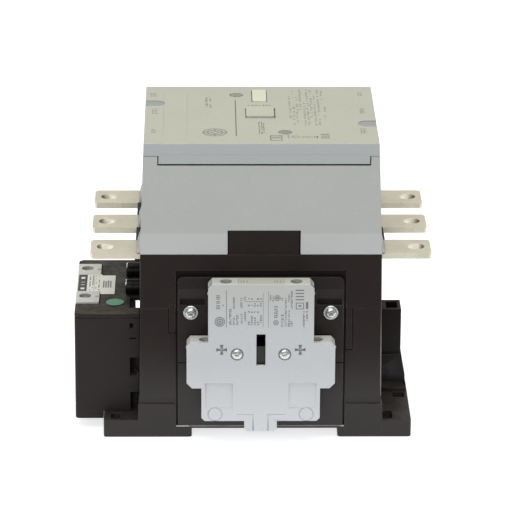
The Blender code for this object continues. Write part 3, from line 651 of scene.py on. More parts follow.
def aux_tint(graph, colour):
    """Painted light: darker towards the top, paler and cooler towards the bottom, and lighter and
    warmer on what faces up.
    """
    up = graph.normal()["Z"]
    height = graph.xyz["Z"]
    # painted light: darker towards the top, paler and cooler towards the bottom
    colour = graph.mix(graph.span(height, over=(0.080, 0.110)), colour, linear((167, 168, 168)))
    colour = graph.mix(graph.span(height, over=(0.060, 0.012)), colour, linear((189, 192, 197)))
    # painted light: what faces up is lighter and warmer, as if lit from above
    high = graph.span(height, over=(0.080, 0.100))
    lit_top_colour = graph.mix(high, linear((214, 213, 211)), linear((204, 206, 202)))
    colour = graph.mix(graph.span(up, over=(0.5, 0.9)), colour, lit_top_colour)
    # a paler-green strip carries the terminal numbers along the top
    narrow = graph.span(graph.off_centre("X"), over=(0.0152, 0.0150))
    strip = graph.times(narrow, graph.span(up, over=(0.7, 0.95)))
    strip = graph.times(strip, graph.span(height, over=(0.1120, 0.1122)))
    colour = graph.mix(strip, colour, linear((198, 201, 190)))
    # painted shade: the terminal screw wells are greyer
    for x, y in (AUX_UPPER, AUX_LOWER):
        for side in (1, -1):
            inside = graph.span(graph.distance_to(side * x, y), over=(0.00415, 0.00405))
            colour = graph.mix(inside, colour, linear((166, 169, 163)))
    return colour


def lid_tint(graph, colour):
    """Painted light: the lid's sides turn to the cover's grey, its two edge slots have darker
    floors of painted shade, and its screw wells are painted lighter.
    """
    up = graph.normal()["Z"]
    height = graph.xyz["Z"]
    # painted light: faces that do not look up take the cover's cooler grey
    sides = graph.span(up, over=(0.45, 0.85), to=(1.0, 0.0))
    colour = graph.mix(sides, colour, linear((152, 155, 157)))
    # painted shade on the floors of the two edge slots
    outer = graph.span(graph.off_centre("X"), over=(0.0636, 0.0638))
    low = graph.times(outer, graph.span(height, over=(0.2061, 0.2062), to=(1.0, 0.0)))
    level_floor = graph.times(
        graph.span(height, over=(0.2057, 0.2058)), graph.span(up, over=(0.5, 0.9))
    )
    colour = graph.mix(graph.times(low, level_floor), colour, linear((146, 149, 151)))
    # painted light: the cover-screw wells are paler than their shade
    for x, y in LID_WELLS:
        inside = graph.times(
            graph.span(graph.distance_to(x, y), over=(0.0050, 0.0048)),
            graph.span(height, over=(0.2062, 0.2057)),
        )
        colour = graph.mix(inside, colour, linear((182, 183, 172)))
    return colour


def pad_tint(graph, colour):
    """Painted shade: the two screw wells are grey."""
    for x, y in COIL_SCREWS[::-1]:
        inside = graph.span(graph.distance_to(x, y), over=(0.0042, 0.0041))
        colour = graph.mix(inside, colour, linear((152, 150, 144)))
    return colour


def cover_tint(graph, colour):
    """The cover pales a little towards its lower rim."""
    height = graph.xyz["Z"]
    rim = graph.span(height, over=(0.1455, 0.1440), smooth=True)
    colour = graph.mix(graph.times(rim, 0.55), colour, linear((170, 171, 175)))
    # painted shade in the shadow line round the lid's tab
    side = graph.off_centre("Y")
    within = graph.times(
        graph.span(side, over=(0.0620, 0.0621)), graph.span(side, over=(0.06335, 0.0632))
    )
    tab_groove_shade = graph.times(graph.span(height, over=(0.19115, 0.19125)), within)
    return graph.mix(tab_groove_shade, colour, linear((34, 34, 36)))


# ------------------------------------------------------------------ materials
mat_cover = moulding(
    "cover_moulding", (159, 161, 160), rough=0.5, vary=0.02, edge_wear_and_light_to=1.2, tint=cover_tint
)
mat_lid = moulding(
    "lid_moulding", (177, 177, 168), rough=0.5, vary=0.02, edge_wear_and_light=0.3, edge_wear_and_light_to=1.15, tint=lid_tint
)
mat_tile = moulding(
    "tile_moulding", (182, 183, 170), rough=0.45, vary=0.02, edge_wear_and_light=0.35, edge_wear_and_light_to=1.15
)
mat_aux = moulding(
    "aux_moulding", (177, 179, 183), rough=0.42, vary=0.015, bump=0.15, edge_wear_and_light=0.4, edge_wear_and_light_to=1.2,
    tint=aux_tint,
)
mat_black = moulding(
    "black_moulding", (36, 30, 29), rough=0.42, vary=0.10, edge_wear_and_light=0.8, edge_wear_and_light_to=4.4, dust=0.06,
    tint=black_tint, level=low_sheen(bottom=0.24, top=0.12),
)
mat_panel = moulding(
    "panel_moulding", (36, 31, 30), rough=0.34, vary=0.10, edge_wear_and_light=0.85, edge_wear_and_light_to=5.0, bump=0.15,
    tint=black_tint, level=low_sheen(bottom=0.26, top=0.15),
)
mat_module = moulding(
    "module_moulding", (41, 36, 36), rough=0.5, vary=0.08, edge_wear_and_light=0.6, edge_wear_and_light_to=2.8, dust=0.21,
    level=0.14,
)
mat_white = moulding(
    "white_moulding", (208, 208, 196), rough=0.4, vary=0.015, bump=0.1, edge_wear_and_light=0.2, edge_wear_and_light_to=1.1
)
mat_carrier = moulding(
    "carrier_moulding", (74, 52, 38), rough=0.55, vary=0.12, edge_wear_and_light=0.4, edge_wear_and_light_to=1.8
)
mat_slider = moulding(
    "slider_moulding", (27, 26, 25), rough=0.4, vary=0.08, edge_wear_and_light=0.5, edge_wear_and_light_to=2.4
)
mat_plug = moulding(
    "plug_rubber", (13, 12, 11), rough=0.34, vary=0.15, edge_wear_and_light=0.0, bump=0.04, level=0.16,
    tint=plug_tint,
)
mat_buffer = moulding(
    "buffer_rubber", (34, 32, 31), rough=0.85, vary=0.15, bump=0.5, edge_wear_and_light=0.3, edge_wear_and_light_to=2.0
)
mat_bobbin = moulding(
    "bobbin_nylon", (205, 198, 176), rough=0.5, vary=0.05, edge_wear_and_light=0.3, edge_wear_and_light_to=1.2
)
mat_board = moulding(
    "circuit_board", (28, 96, 52), rough=0.35, vary=0.12, edge_wear_and_light=0.2, edge_wear_and_light_to=1.6, coat=0.4
)
mat_pads = moulding(
    "terminal_moulding", (203, 202, 199), rough=0.45, vary=0.03, edge_wear_and_light=0.3, edge_wear_and_light_to=1.12,
    tint=pad_tint,
)
mat_film = moulding(
    "label_film", (232, 231, 227), rough=0.35, vary=0.01, bump=0.04, edge_wear_and_light=0.1, edge_wear_and_light_to=1.1
)
mat_dark_film = moulding(
    "label_dark_film", (52, 50, 48), rough=0.35, vary=0.04, bump=0.04, edge_wear_and_light=0.1, edge_wear_and_light_to=1.6
)
ink_soft = ink("printed_ink", (156, 156, 147))
ink_middle = ink("printed_mid_ink", (134, 135, 130))
dark_ink_and_shade = ink("dark_ink_and_painted_shade", (100, 103, 104), vary=0.08)
ink_cool = ink("printed_cool_ink", (88, 92, 101))
ink_grey = ink("printed_grey_ink", (146, 150, 150))
ink_firm = ink("printed_firm_ink", (96, 100, 104))
mat_green = moulding("green_seal", (88, 156, 119), rough=0.42, vary=0.08, edge_wear_and_light=0.35, edge_wear_and_light_to=1.5)
mat_tin = metal(
    "tinned_copper", (224, 218, 200), rough=0.36, stretch=(1.0, 14.0, 1.0), streak=0.16,
    blotch=0.05, dark=(186, 174, 150), scale=500.0, metallic=0.5, tint=bar_tint,
)
mat_zinc = metal(
    "zinc_steel", (214, 216, 216), rough=0.24, stretch=(1.0, 1.0, 1.0), streak=0.15,
    blotch=0.06, edge_wear_and_light=0.4,
)
mat_copper = metal(
    "contact_copper", (204, 128, 92), rough=0.34, stretch=(1.0, 12.0, 1.0), streak=0.2,
    blotch=0.1, dark=(96, 56, 40), scale=600.0,
)
mat_spring = metal(
    "spring_steel", (150, 152, 156), rough=0.28, stretch=(1.0, 1.0, 8.0), streak=0.2,
    blotch=0.06,
)
mat_chute = metal(
    "chute_steel", (150, 132, 116), rough=0.42, stretch=(1.0, 10.0, 1.0), streak=0.25,
    blotch=0.12, dark=(84, 66, 54),
)
mat_core = laminated("core_steel", (128, 130, 134))
mat_winding = wound("winding_copper", (172, 92, 48))

PRINT = 0.03  # thickness of every printed mark


def print_marks(name, slot, finish, blocks):
    """Thin printed bars with no letters in them; also the thin dark sheets of painted shade in
    the screwdriver marks.
    """
    piece = to_object(name, merged(blocks))
    piece.data.shade_flat()
    dress(piece, finish, "enclosure", slot)


# ------------------------------------------------------------------ lid, tile, indicator
ABOVE_LID = 208.0  # where cuts into the lid start
SLOT_FLOOR = 205.9
steps = [
    # an ear at each end, then a round-ended slot in each, then the indicator's window
    ("+", box(-77.2, -63.0, 17.0, 32.0, 204.0, 206.3)),
    ("+", box(63.8, 77.2, -28.0, -13.0, 204.0, 206.3)),
    ("-", prism(rounded(-90.0, -64.0, 18.55, 30.85, 6.1), "z", SLOT_FLOOR, ABOVE_LID)),
    ("-", prism(rounded(64.8, 90.0, -27.05, -13.95, 6.5), "z", SLOT_FLOOR, ABOVE_LID)),
    ("-", box(-9.85, 10.05, -8.4, 13.65, 204.35, ABOVE_LID)),
]
steps += [("-", cylinder("z", well, 200.9, ABOVE_LID, 4.78, 56)) for well in LID_WELLS]
skin("top_lid", mat_lid, steps, bevel=0.45)
skin("marker_tile", mat_tile, bevel=0.5, segments=3)
skin("position_indicator", mat_white, bevel=0.5, segments=3)

random.seed(7)
LID_PRINT_Z = 206.42


def lid_bar(x0, x1, y0, y1):
    return box(x0, x1, y0, y1, LID_PRINT_Z, LID_PRINT_Z + PRINT)


def lid_ring(x, y, inner, outer, sides=56):
    return flat_ring("z", (x, y), inner, outer, LID_PRINT_Z, PRINT, sides)


def glyphs(x0, x1, y0, y1, fill, cell, gap, stroke=0.34):
    """A column of plain strokes that reads as fine print from afar; no letters."""
    out = []
    y = y0
    while y + cell <= y1 + 0.01:
        if random.random() < fill:
            length = cell * random.uniform(0.6, 1.0)
            for _ in range(random.choice((1, 2, 2))):
                x = random.uniform(x0, x1 - stroke)
                out.append(lid_bar(x, x + stroke, y, y + length))
            if random.random() < 0.8:
                foot = y + random.choice((0.0, length - 0.8))
                end = x0 + (x1 - x0) * random.uniform(0.6, 1.0)
                out.append(lid_bar(x0, end, foot, foot + 0.8))
        y += cell + gap
    return out


# Columns of soft print: x, y0, y1.
SOFT_COLUMNS = (
    (19.6, -8, 44), (22.0, -24, 58), (24.4, -20, 40), (26.8, 10, 58), (29.2, -25, 30),
    (31.6, -24, 57), (34.0, -10, 58), (36.4, -25, 44), (38.8, -24, 57), (41.4, 24, 56),
    (43.0, -12, 20),
)
# Columns of middle print: x0, x1, y0, y1.
MIDDLE_COLUMNS = (
    (-36.9, -34.9, 15, 39), (-33.8, -32.4, 15, 38), (-1.6, -0.4, -43, -14.5),
    (0.2, 1.2, -43, -16), (1.6, 2.4, -40, -18),
)
# Small blocks of print along the two ends: x0, x1, y0, y1.
END_BLOCKS = (
    (-74.0, -68.4, 40, 48.5), (-72.6, -67.6, 1.5, 12), (-72.5, -68.9, -40, -32),
    (67.2, 71.2, 41.5, 50), (67.3, 71.2, 2.5, 13.5), (65.9, 70.5, -41.5, -30.5),
)
# Firm bars: a long line, a framed pair of bars and four short bars: x0, x1, y0, y1.
FIRM_BARS = (
    (-16.75, -16.05, -47.4, 31.9),
    (5.9, 13.8, -57.2, -56.5), (5.9, 13.8, -46.9, -46.2), (5.9, 6.5, -56.5, -46.9),
    (13.2, 13.8, -56.5, -46.9), (6.9, 12.8, -50.2, -49.3), (6.9, 12.8, -52.2, -51.5),
    (36.4, 37.4, -51.5, -47.5), (39.2, 45.0, -44.3, -43.0), (39.2, 45.0, -48.2, -46.9),
    (39.2, 45.0, -52.2, -50.9),
)

soft, marks = [], []
for x, y0, y1 in SOFT_COLUMNS:
    soft += glyphs(x, x + 1.75, y0, y1, fill=0.78, cell=2.2, gap=0.8)
for column in MIDDLE_COLUMNS:
    marks += glyphs(*column, fill=0.92, cell=2.3, gap=0.7, stroke=0.42)
for x0, x1, y0, y1 in END_BLOCKS:
    y = y0
    while y < y1:
        soft.append(lid_bar(x0, x0 + (x1 - x0) * random.uniform(0.7, 1.0), y, y + 0.9))
        y += 3.3
    for x in (x0 + 0.3, (x0 + x1) / 2):
        soft.append(lid_bar(x, x + 0.4, y0, y1 - 1.0))
# two dashed lines
for x in (-64.7, -48.9):
    y = -49.0
    while y < 50:
        soft.append(lid_bar(x - 0.14, x + 0.14, y, y + 2.2))
        y += 3.2
# a row of seven blocks
for i in range(7):
    x = -7.9 + i * 2.4
    marks.append(lid_bar(x, x + (1.5 if i % 3 else 0.8), 18.6, 20.8))
marks += glyphs(17.2, 18.8, -53, -45, fill=1.0, cell=1.6, gap=0.4)
marks += glyphs(19.6, 20.8, -52, -46, fill=1.0, cell=1.6, gap=0.4)
# a row of nine bars of uneven height
for i in range(9):
    x = 26.0 + i * 1.25
    marks.append(
        lid_bar(x, x + random.uniform(0.5, 0.9), -50.8, -50.8 + random.uniform(1.6, 3.6))
    )
# a target of three rings with four double arms, and a lone ring
TARGET_X, TARGET_Y = -30.5, -39.6
ARMS = ((-7.0, -5.6), (5.6, 7.0), (-4.3, -2.6), (2.6, 4.3))  # start and end from the centre
marks += [lid_ring(TARGET_X, TARGET_Y, *radii) for radii in ((7.0, 8.2), (4.3, 5.6))]
marks += [lid_ring(TARGET_X, TARGET_Y, 1.6, 2.6, sides=24)]
marks += [lid_ring(22.9, -49.2, 1.7, 2.3, sides=28)]
marks += [lid_bar(TARGET_X + a, TARGET_X + b, TARGET_Y - 0.5, TARGET_Y + 0.5) for a, b in ARMS]
marks += [lid_bar(TARGET_X - 0.5, TARGET_X + 0.5, TARGET_Y + a, TARGET_Y + b) for a, b in ARMS]
print_marks("lid_print_soft", "lid_moulding", ink_soft, soft)
print_marks("lid_print_middle", "lid_moulding", ink_middle, marks)
print_marks("lid_print_firm", "lid_moulding", dark_ink_and_shade, [lid_bar(*bar) for bar in FIRM_BARS])

# ------------------------------------------------------------------ arc cover
# The rear is the front turned half round, so x spans swap ends there.
steps = []
for side in SIDES:
    slot = box(*mirrored(-side, -22.05, 26.05), *mirrored(side, 61.0, 70.0), 129.0, 146.65)
    steps.append(("-", slot))
for side in SIDES:
    # the shadow line round the lid's tab
    groove = box(*mirrored(-side, -68.2, 71.8), *mirrored(side, 62.2, 68.0), 191.3, 199.0)
    steps.append(("-", groove))
    # the short moulded lines above the lower rim
    for x0, x1 in ((-56.0, -24.5), (28.0, 61.0)):
        line = box(*mirrored(-side, x0, x1), *mirrored(side, 65.75, 67.0), 137.0, 137.35)
        steps.append(("-", line))
skin("arc_cover", mat_cover, steps, bevel=0.55, segments=3)

# ------------------------------------------------------------------ black housings
BODY_TOP = 130.3
CORNER = 1.5  # radius of the body's tall edges


def side_x(z):
    return 81.4 - 1.4 * z / BODY_TOP


def side_y(z):
    return 67.0 - z / BODY_TOP


def round_corners(z0, z1):
    """Cutters that round the body's four tall edges, following its taper."""
    # the waste outside the round, as (out along x, in along y) from the corner
    turns = [math.radians(degrees) for degrees in range(0, 91, 15)]
    profile = [(-CORNER + CORNER * math.sin(t), CORNER - CORNER * math.cos(t)) for t in turns]
    profile += [(0.8, CORNER), (0.8, -0.8), (-CORNER, -0.8)]
    cutters = []
    for end in SIDES:
        for face in SIDES:
            rows = [
                [(end * (side_x(z) + u), face * (side_y(z) - v), z) for u, v in profile]
                for z in (z0, z1)
            ]
            cutters.append(("-", loft(*rows)))
    return cutters


skin("base_housing", mat_black, round_corners(29.6, 93.0), bevel=0.5)
skin("contact_housing", mat_black, round_corners(91.0, BODY_TOP), bevel=0.5)
for side, word in zip(SIDES, ("front", "rear")):
    groove = box(-56, 56, *mirrored(side, 66.3, 68.6), 53.45, 54.35)
    skin(f"side_panel_{word}", mat_panel, [("-", groove)], bevel=0.5)

# ------------------------------------------------------------------ screws
# Radii of head, shank and recess; the height of the head; the length below it.
PANEL_SCREW = dict(head=4.9, height=2.9, shank=2.1, length=9.8, recess=2.85, washer=True)
MOUNT_SCREW = dict(head=3.6, height=1.9, shank=1.6, length=16.5, recess=2.4)
COVER_SCREW = dict(head=4.1, height=2.6, shank=1.6, length=8.0, recess=2.3)
AUX_SCREW = dict(head=3.3, height=2.2, shank=1.5, length=5.4, recess=1.9)
COIL_SCREW = dict(head=3.5, height=2.0, shank=1.6, length=9.0, recess=2.0)

TO_TOP = Matrix.Identity(4)
TO_FRONT = Matrix(((1, 0, 0, 0), (0, 0, -1, 0), (0, 1, 0, 0), (0, 0, 0, 1)))
TO_REAR = Matrix(((-1, 0, 0, 0), (0, 0, 1, 0), (0, 1, 0, 0), (0, 0, 0, 1)))


def screw_head(head, height, shank, length, washer):
    """A pan head on +Z with its seat at z = 0 and a rolled thread below."""
    profile = [(0.0, -length), (shank * 0.55, -length), (shank * 0.8, -length + 0.5)]
    z = -length + 0.7
    while z < -1.1:
        root, crest = shank * 0.84, shank * 0.99
        profile += [(root, z), (crest, z + 0.22), (crest, z + 0.3), (root, z + 0.5)]
        z += 0.6
    profile += [(shank * 0.9, -0.3), (shank * 0.9, 0.0)]
    if washer:
        profile += [(head - 0.15, 0.0), (head, 0.15), (head, 0.85), (head - 0.25, 1.1)]
        profile += [(head * 0.80, 1.1), (head * 0.77, 0.95)]
        dome, dome_z = head * 0.76, 1.0
    else:
        profile += [(head - 0.1, 0.0), (head, 0.12)]
        dome, dome_z = head, 0.35 * height
    for i in range(9):
        turn = math.radians(90 * i / 8)
        radius = dome * (0.45 + 0.55 * math.cos(turn))
        profile.append((radius, dome_z + (height - dome_z) * math.sin(turn)))
    profile.append((0.0, height + 0.02))
    return lathe(profile, sides=40)


def cross_recess(height, recess, spin):
    """Two tapered slots and a tapered middle."""
    floor_z = height - height * 0.72
    half_width = recess * 0.17
    cuts = []
    for k in range(2):
        slot = box(-recess, recess, -half_width, half_width, floor_z, height + 1.0)
        for vert in slot.verts:
            if vert.co.z < height:
                vert.co.x *= 0.35
                vert.co.y *= 0.7
        cuts.append(turned(slot, Matrix.Rotation(math.radians(spin + 90 * k), 4, "Z")))
    top = height + 0.3
    profile = [(0.0, floor_z), (recess * 0.22, floor_z), (recess * 0.5, top), (0.0, top)]
    heart = lathe(profile, sides=16)
    cuts.append(turned(heart, Matrix.Rotation(math.radians(spin + 45), 4, "Z")))
    return cuts


def screw(node, turn, at, spin, head, height, shank, length, recess, washer=False):
    move = Matrix.Translation(Vector(at)) @ turn
    base = turned(screw_head(head, height, shank, length, washer), move)
    cuts = [("-", turned(cut, move)) for cut in cross_recess(height, recess, spin)]
    dress_node(shaped(node + "_skin", base, cuts, shade=38), mat_zinc, node)


panel_low, panel_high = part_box("panel_front_screw_1")
panel_z = middle(panel_low.z, panel_high.z)
for i, (x, spin) in enumerate(((-46.5, 38.0), (46.5, 52.0)), 1):
    screw(f"panel_front_screw_{i}", TO_FRONT, (x, -67.3, panel_z), spin, **PANEL_SCREW)
    screw(f"panel_rear_screw_{i}", TO_REAR, (x, 67.3, panel_z), spin + 17, **PANEL_SCREW)
for i, (side, spin) in enumerate(zip(SIDES, (28.0, 12.0)), 1):
    at = (side * AUX_MOUNT[0], -80.2, AUX_MOUNT[1])
    screw(f"aux_mounting_screw_{i}", TO_FRONT, at, spin, **MOUNT_SCREW)
for i, well in enumerate(LID_WELLS, 1):
    screw(f"cover_screw_{i}", TO_TOP, (*well, 201.3), 15.0 + 30 * i, **COVER_SCREW)
seats = [
    (side * x, y, z) for (x, y), z in ((AUX_UPPER, 104.3), (AUX_LOWER, 66.3)) for side in SIDES
]
for i, seat in enumerate(seats, 1):
    screw(f"aux_terminal_screw_{i}", TO_TOP, seat, 25.0 * i, **AUX_SCREW)
for i, (place, spin) in enumerate(zip(COIL_SCREWS, (35.0, 12.0)), 1):
    screw(f"coil_terminal_screw_{i}", TO_TOP, (*place, 80.1), spin, **COIL_SCREW)

# ------------------------------------------------------------------ terminal bars
for side, word in zip(SIDES, ("line", "load")):
    for number, pole in enumerate(POLES, 1):
        place = (side * BAR_HOLE_X, pole * BAR_PITCH)
        hole = cylinder("z", place, 125.0, 133.0, 5.45, 64)
        skin(f"{word}_terminal_bar_{number}", mat_tin, [("-", hole)], bevel=0.35)

# ------------------------------------------------------------------ auxiliary block
AUX_FRONT = -83.0  # clear of the block's face, where cuts into it start
CROSS_X, CROSS_Z = 26.0, 68.7
DIAL = (30.4, 22.6)  # x, z of the round features low on the face, repeated at -x


def cross(x, z, size, y0, y1):
    """A four-armed screwdriver mark with flared arms."""
    reach, flare, waist = size * 0.5, size * 0.19, size * 0.11
    arm = (
        (waist, -waist), (reach * 0.62, -waist), (reach, -flare), (reach, flare),
        (reach * 0.62, waist),
    )
    points = []
    for k in range(4):
        turn = math.radians(90 * k)
        cos, sin = math.cos(turn), math.sin(turn)
        points += [(x + u * cos - v * sin, z + u * sin + v * cos) for u, v in arm]
    return prism(points, "y", y0, y1)


COUNTERSINK = (  # radius, y
    (0.0, AUX_FRONT), (4.95, AUX_FRONT), (4.5, -81.5), (4.25, -81.15), (0.0, -81.15),
)
WEDGE = ((AUX_FRONT, 44.9), (-80.2, 44.9), (-81.3, 27.0), (AUX_FRONT, 27.0))  # y, z
steps = []
for side in SIDES:
    mount = (side * AUX_MOUNT[0], AUX_MOUNT[1])
    upper = (side * AUX_UPPER[0], AUX_UPPER[1])
    lower = (side * AUX_LOWER[0], AUX_LOWER[1])
    dial = (side * DIAL[0], DIAL[1])
    steps += [
        ("-", cylinder("y", mount, AUX_FRONT, -79.85, 4.28, 40)),
        ("-", lathe(COUNTERSINK, "y", mount, 40)),
        ("-", cylinder("z", upper, 103.9, 116.0, 3.82, 40)),
        ("-", cylinder("z", lower, 65.9, 116.0, 3.97, 40)),
        ("-", cross(side * CROSS_X, CROSS_Z, 7.1, AUX_FRONT, -80.9)),
        ("-", cylinder("y", dial, AUX_FRONT, -80.95, 5.0, 40)),
        ("+", cylinder("y", dial, -81.6, -80.5, 4.35, 40)),
        ("-", prism(WEDGE, "x", *mirrored(side, 18.6, 37.0))),
        # an upright groove and a level one above it
        ("-", box(*mirrored(side, 4.6, 5.3), AUX_FRONT, -81.1, 9.0, 21.8)),
        ("-", box(*mirrored(side, 4.6, 16.0), AUX_FRONT, -81.2, 22.2, 22.6)),
        # small stubs where the moulding gates were broken off
        ("+", box(*mirrored(side, 34.5, 35.5), -79.2, -77.6, 106.8, 108.4)),
        ("+", box(*mirrored(side, 48.8, 49.75), -79.2, -77.8, 69.0, 70.4)),
    ]
skin("aux_block_housing", mat_aux, steps, bevel=0.45, segments=3)
skin("aux_slider", mat_slider)

random.seed(19)
AUX_PRINT_Y = -81.52


def aux_bar(x0, x1, z0, z1):
    return box(x0, x1, AUX_PRINT_Y - PRINT, AUX_PRINT_Y, z0, z1)


def aux_ring(x, z, inner, outer, sides=48):
    return flat_ring("y", (x, z), inner, outer, AUX_PRINT_Y, -PRINT, sides)


def specks(x0, x1, z0, z1, cell=1.15, gap=0.32):
    """A column of plain specks on the block's face that reads as fine print; no letters."""
    out = []
    z = z0
    mid = (x0 + x1) / 2
    while z + cell <= z1 + 0.01:
        if random.random() < 0.95:
            for left, right in ((x0, mid), (mid, x1)):
                for foot, top in ((z, z + cell * 0.5), (z + cell * 0.5, z + cell)):
                    if random.random() < 0.78:
                        wide, tall = right - left, top - foot
                        start = left + wide * random.uniform(0.0, 0.3)
                        base = foot + tall * random.uniform(0.0, 0.25)
                        end = right - wide * random.uniform(0.04, 0.2)
                        out.append(aux_bar(start, end, base, top - tall * 0.12))
        z += cell + gap
    return out


# Columns of specks: x0, x1, z0, z1.
SPECK_COLUMNS = (
    (-21.2, -19.6, 86.3, 98.6), (-18.7, -17.3, 97.3, 107.2), (-18.7, -17.3, 86.3, 92.5),
    (-16.6, -15.0, 86.4, 94.6), (-13.9, -12.3, 98.3, 106.5), (-13.7, -12.3, 87.3, 95.7),
    (-11.3, -10.0, 103.7, 106.5), (-11.2, -9.9, 88.9, 96.7), (-8.8, -7.5, 104.1, 106.0),
    (-8.8, -7.5, 99.6, 101.3), (-8.8, -7.5, 95.1, 96.3), (-8.8, -7.5, 86.2, 88.9),
    (-6.8, -5.6, 104.1, 106.0), (-6.8, -5.6, 99.5, 101.5), (-6.8, -5.6, 94.8, 96.3),
    (-6.8, -5.6, 86.2, 93.6), (-4.9, -3.6, 104.1, 105.2), (-4.9, -3.6, 99.3, 102.0),
    (-4.9, -3.6, 94.8, 96.2), (-4.9, -3.6, 86.2, 93.1), (-2.9, -1.4, 104.1, 106.2),
    (-2.9, -1.4, 99.3, 101.5), (-2.9, -1.4, 94.8, 96.3), (-2.9, -1.4, 86.2, 89.1),
    (-0.9, 0.6, 104.1, 106.2), (-0.9, 0.6, 99.5, 102.5), (-0.9, 0.6, 86.2, 93.3),
    (5.6, 6.7, 102.2, 108.6), (7.3, 8.3, 103.0, 107.8), (12.9, 14.3, 103.2, 107.1),
    (8.4, 10.9, 91.2, 100.3), (13.1, 14.8, 85.2, 93.8), (15.5, 16.8, 85.2, 106.2),
    (17.6, 18.9, 85.2, 97.5), (17.7, 18.8, 102.9, 109.0), (19.4, 20.8, 97.4, 111.6),
    (19.4, 20.8, 85.2, 90.1), (27.5, 28.9, 84.7, 96.7), (29.6, 30.9, 89.3, 97.2),
    (-25.9, -24.7, 99.6, 102.8),
)
marks = []
for column in SPECK_COLUMNS:
    marks += specks(*column)
marks += [aux_bar(-10.7, 1.2, 102.8, 103.02)]
marks += [aux_bar(1.2, 1.4, 84.6, 109.0), aux_bar(4.7, 4.9, 84.6, 109.8)]
print_marks("aux_print_soft", "aux_moulding", ink_cool, marks)

marks = [aux_bar(-23.15, -22.8, 84.4, 110.9), aux_bar(29.5, 31.0, 97.7, 102.6)]
# two small rings, each with a dot ring inside
marks += [aux_ring(10.7, 105.4, 1.5, 1.95), aux_ring(9.75, 88.0, 1.3, 1.75)]
marks += [aux_ring(10.7, 105.4, 0.35, 0.95, 20), aux_ring(9.75, 88.0, 0.3, 0.7, 20)]
# a ladder of four bars over a frame with a bar in it
marks += [aux_bar(22.6, 28.2, z, z + 0.75) for z in (110.4, 108.2, 106.0, 103.8)]
marks += [aux_bar(22.8, 28.2, 101.6, 102.1), aux_bar(22.8, 28.2, 97.4, 97.9)]
marks += [aux_bar(22.8, 23.3, 97.9, 101.6), aux_bar(27.7, 28.2, 97.9, 101.6)]
marks += [aux_bar(24.6, 26.4, 99.2, 100.3)]
print_marks("aux_print_firm", "aux_moulding", ink_firm, marks)

BADGE = (-27.3, 88.6)  # x, z of the round badge
marks = [aux_ring(*BADGE, 3.1, 3.45), aux_ring(*BADGE, 1.75, 2.15, 32)]
marks += [aux_ring(*BADGE, 0.01, 0.55, 20)]
print_marks("aux_print_rings", "aux_moulding", ink_firm, marks)
marks = [aux_ring(*BADGE, 0.75, 1.6), aux_ring(*BADGE, 2.3, 2.95)]
print_marks("aux_print_disc", "aux_moulding", ink_grey, marks)
CODE_ROWS = (97.6, 98.7, 99.8, 101.6, 102.7, 104.5, 105.6, 106.7)
marks = [aux_bar(-29.7, -27.2, z, z + 0.5) for z in CODE_ROWS]
print_marks("aux_print_code", "aux_moulding", ink_firm, marks)
# painted shade: a dark sheet on the floor of each screwdriver mark
marks = [cross(side * CROSS_X, CROSS_Z, 6.9, -81.06, -80.85) for side in SIDES]
print_marks("aux_cross_floor", "aux_moulding", dark_ink_and_shade, marks)
marks = []
for side in SIDES:
    x = side * CROSS_X
    marks += [
        box(x - half, x + half, -81.1, -81.07, z0, z1)
        for half, z0, z1 in ((1.7, 68.42, 68.98), (0.28, 69.0, 70.4), (0.28, 67.0, 68.4))
    ]
print_marks("aux_cross_light", "aux_moulding", ink_grey, marks)
# terminal numbers on the top strip, as plain bars, and the strip's two end lines
marks = []
for side in SIDES:
    for offset in (-2.4, -0.8, 1.4):
        x = side * 11.0 + offset
        marks.append(box(x, x + 0.8, -77.6, -74.6, 114.93, 114.96))
    marks.append(box(*mirrored(side, 15.2, 14.85), -79.6, -70.6, 114.93, 114.96))
print_marks("aux_top_marks", "aux_moulding", ink_soft, marks)

# ------------------------------------------------------------------ coil module
steps = [
    ("-", box(-87.4, -83.0, -52.0, -45.0, z0, z1)) for z0, z1 in ((64.2, 65.4), (38.2, 41.0))
]
skin("coil_module_housing", mat_module, steps)
skin("coil_module_cover", mat_module, bevel=0.5)
steps = [("-", cylinder("z", place, 79.9, 85.0, 4.1)) for place in COIL_SCREWS[::-1]]
skin("coil_terminal_block", mat_pads, steps, bevel=0.35)
skin("coil_label", mat_film, bevel=0.0)

LABEL_Z = 83.11  # underside of the label's print


def label_bar(x0, x1, y0, y1, lift=0.0):
    return box(x0, x1, y0, y1, LABEL_Z + lift, LABEL_Z + lift + PRINT)


dark_band = label_bar(-123.6, -117.6, -8.6, 23.2)
print_marks("coil_label_dark", "label_film", mat_dark_film, [dark_band])
random.seed(5)
LIGHT_BARS = ((-5.4, 3.2), (15.0, 3.6), (3.0, 0.8), (8.0, 0.8))  # y, length
marks = [label_bar(-121.8, -119.2, y, y + length, lift=0.04) for y, length in LIGHT_BARS]
print_marks("coil_label_light", "label_film", mat_film, marks)
marks = []
for x in (-115.6, -113.6, -111.4, -109.4):
    y = -7.5
    while y < 21.5:
        length = random.uniform(0.8, 2.0)
        if random.random() < 0.75:
            marks.append(label_bar(x - 0.4, x + 0.4, y, y + length))
        y += length + 0.6
for x in (-106.2, -104.6, -103.0, -101.4):
    y = -2.0
    while y < 10.0:
        length = random.uniform(0.9, 1.8)
        marks.append(label_bar(x - 0.5, x + 0.5, y, y + length))
        y += length + 0.4
marks.append(label_bar(-112.75, -112.55, -8.6, 23.2))
print_marks("coil_label_print", "label_film", dark_ink_and_shade, marks)
marks = []
for x, y in ((-110.9, 31.8), (-111.2, -21.2)):
    for k in range(3):
        marks.append(box(x + k * 0.8, x + k * 0.8 + 0.45, y, y + 2.6, 83.41, 83.44))
print_marks("coil_terminal_marks", "terminal_moulding", dark_ink_and_shade, marks)

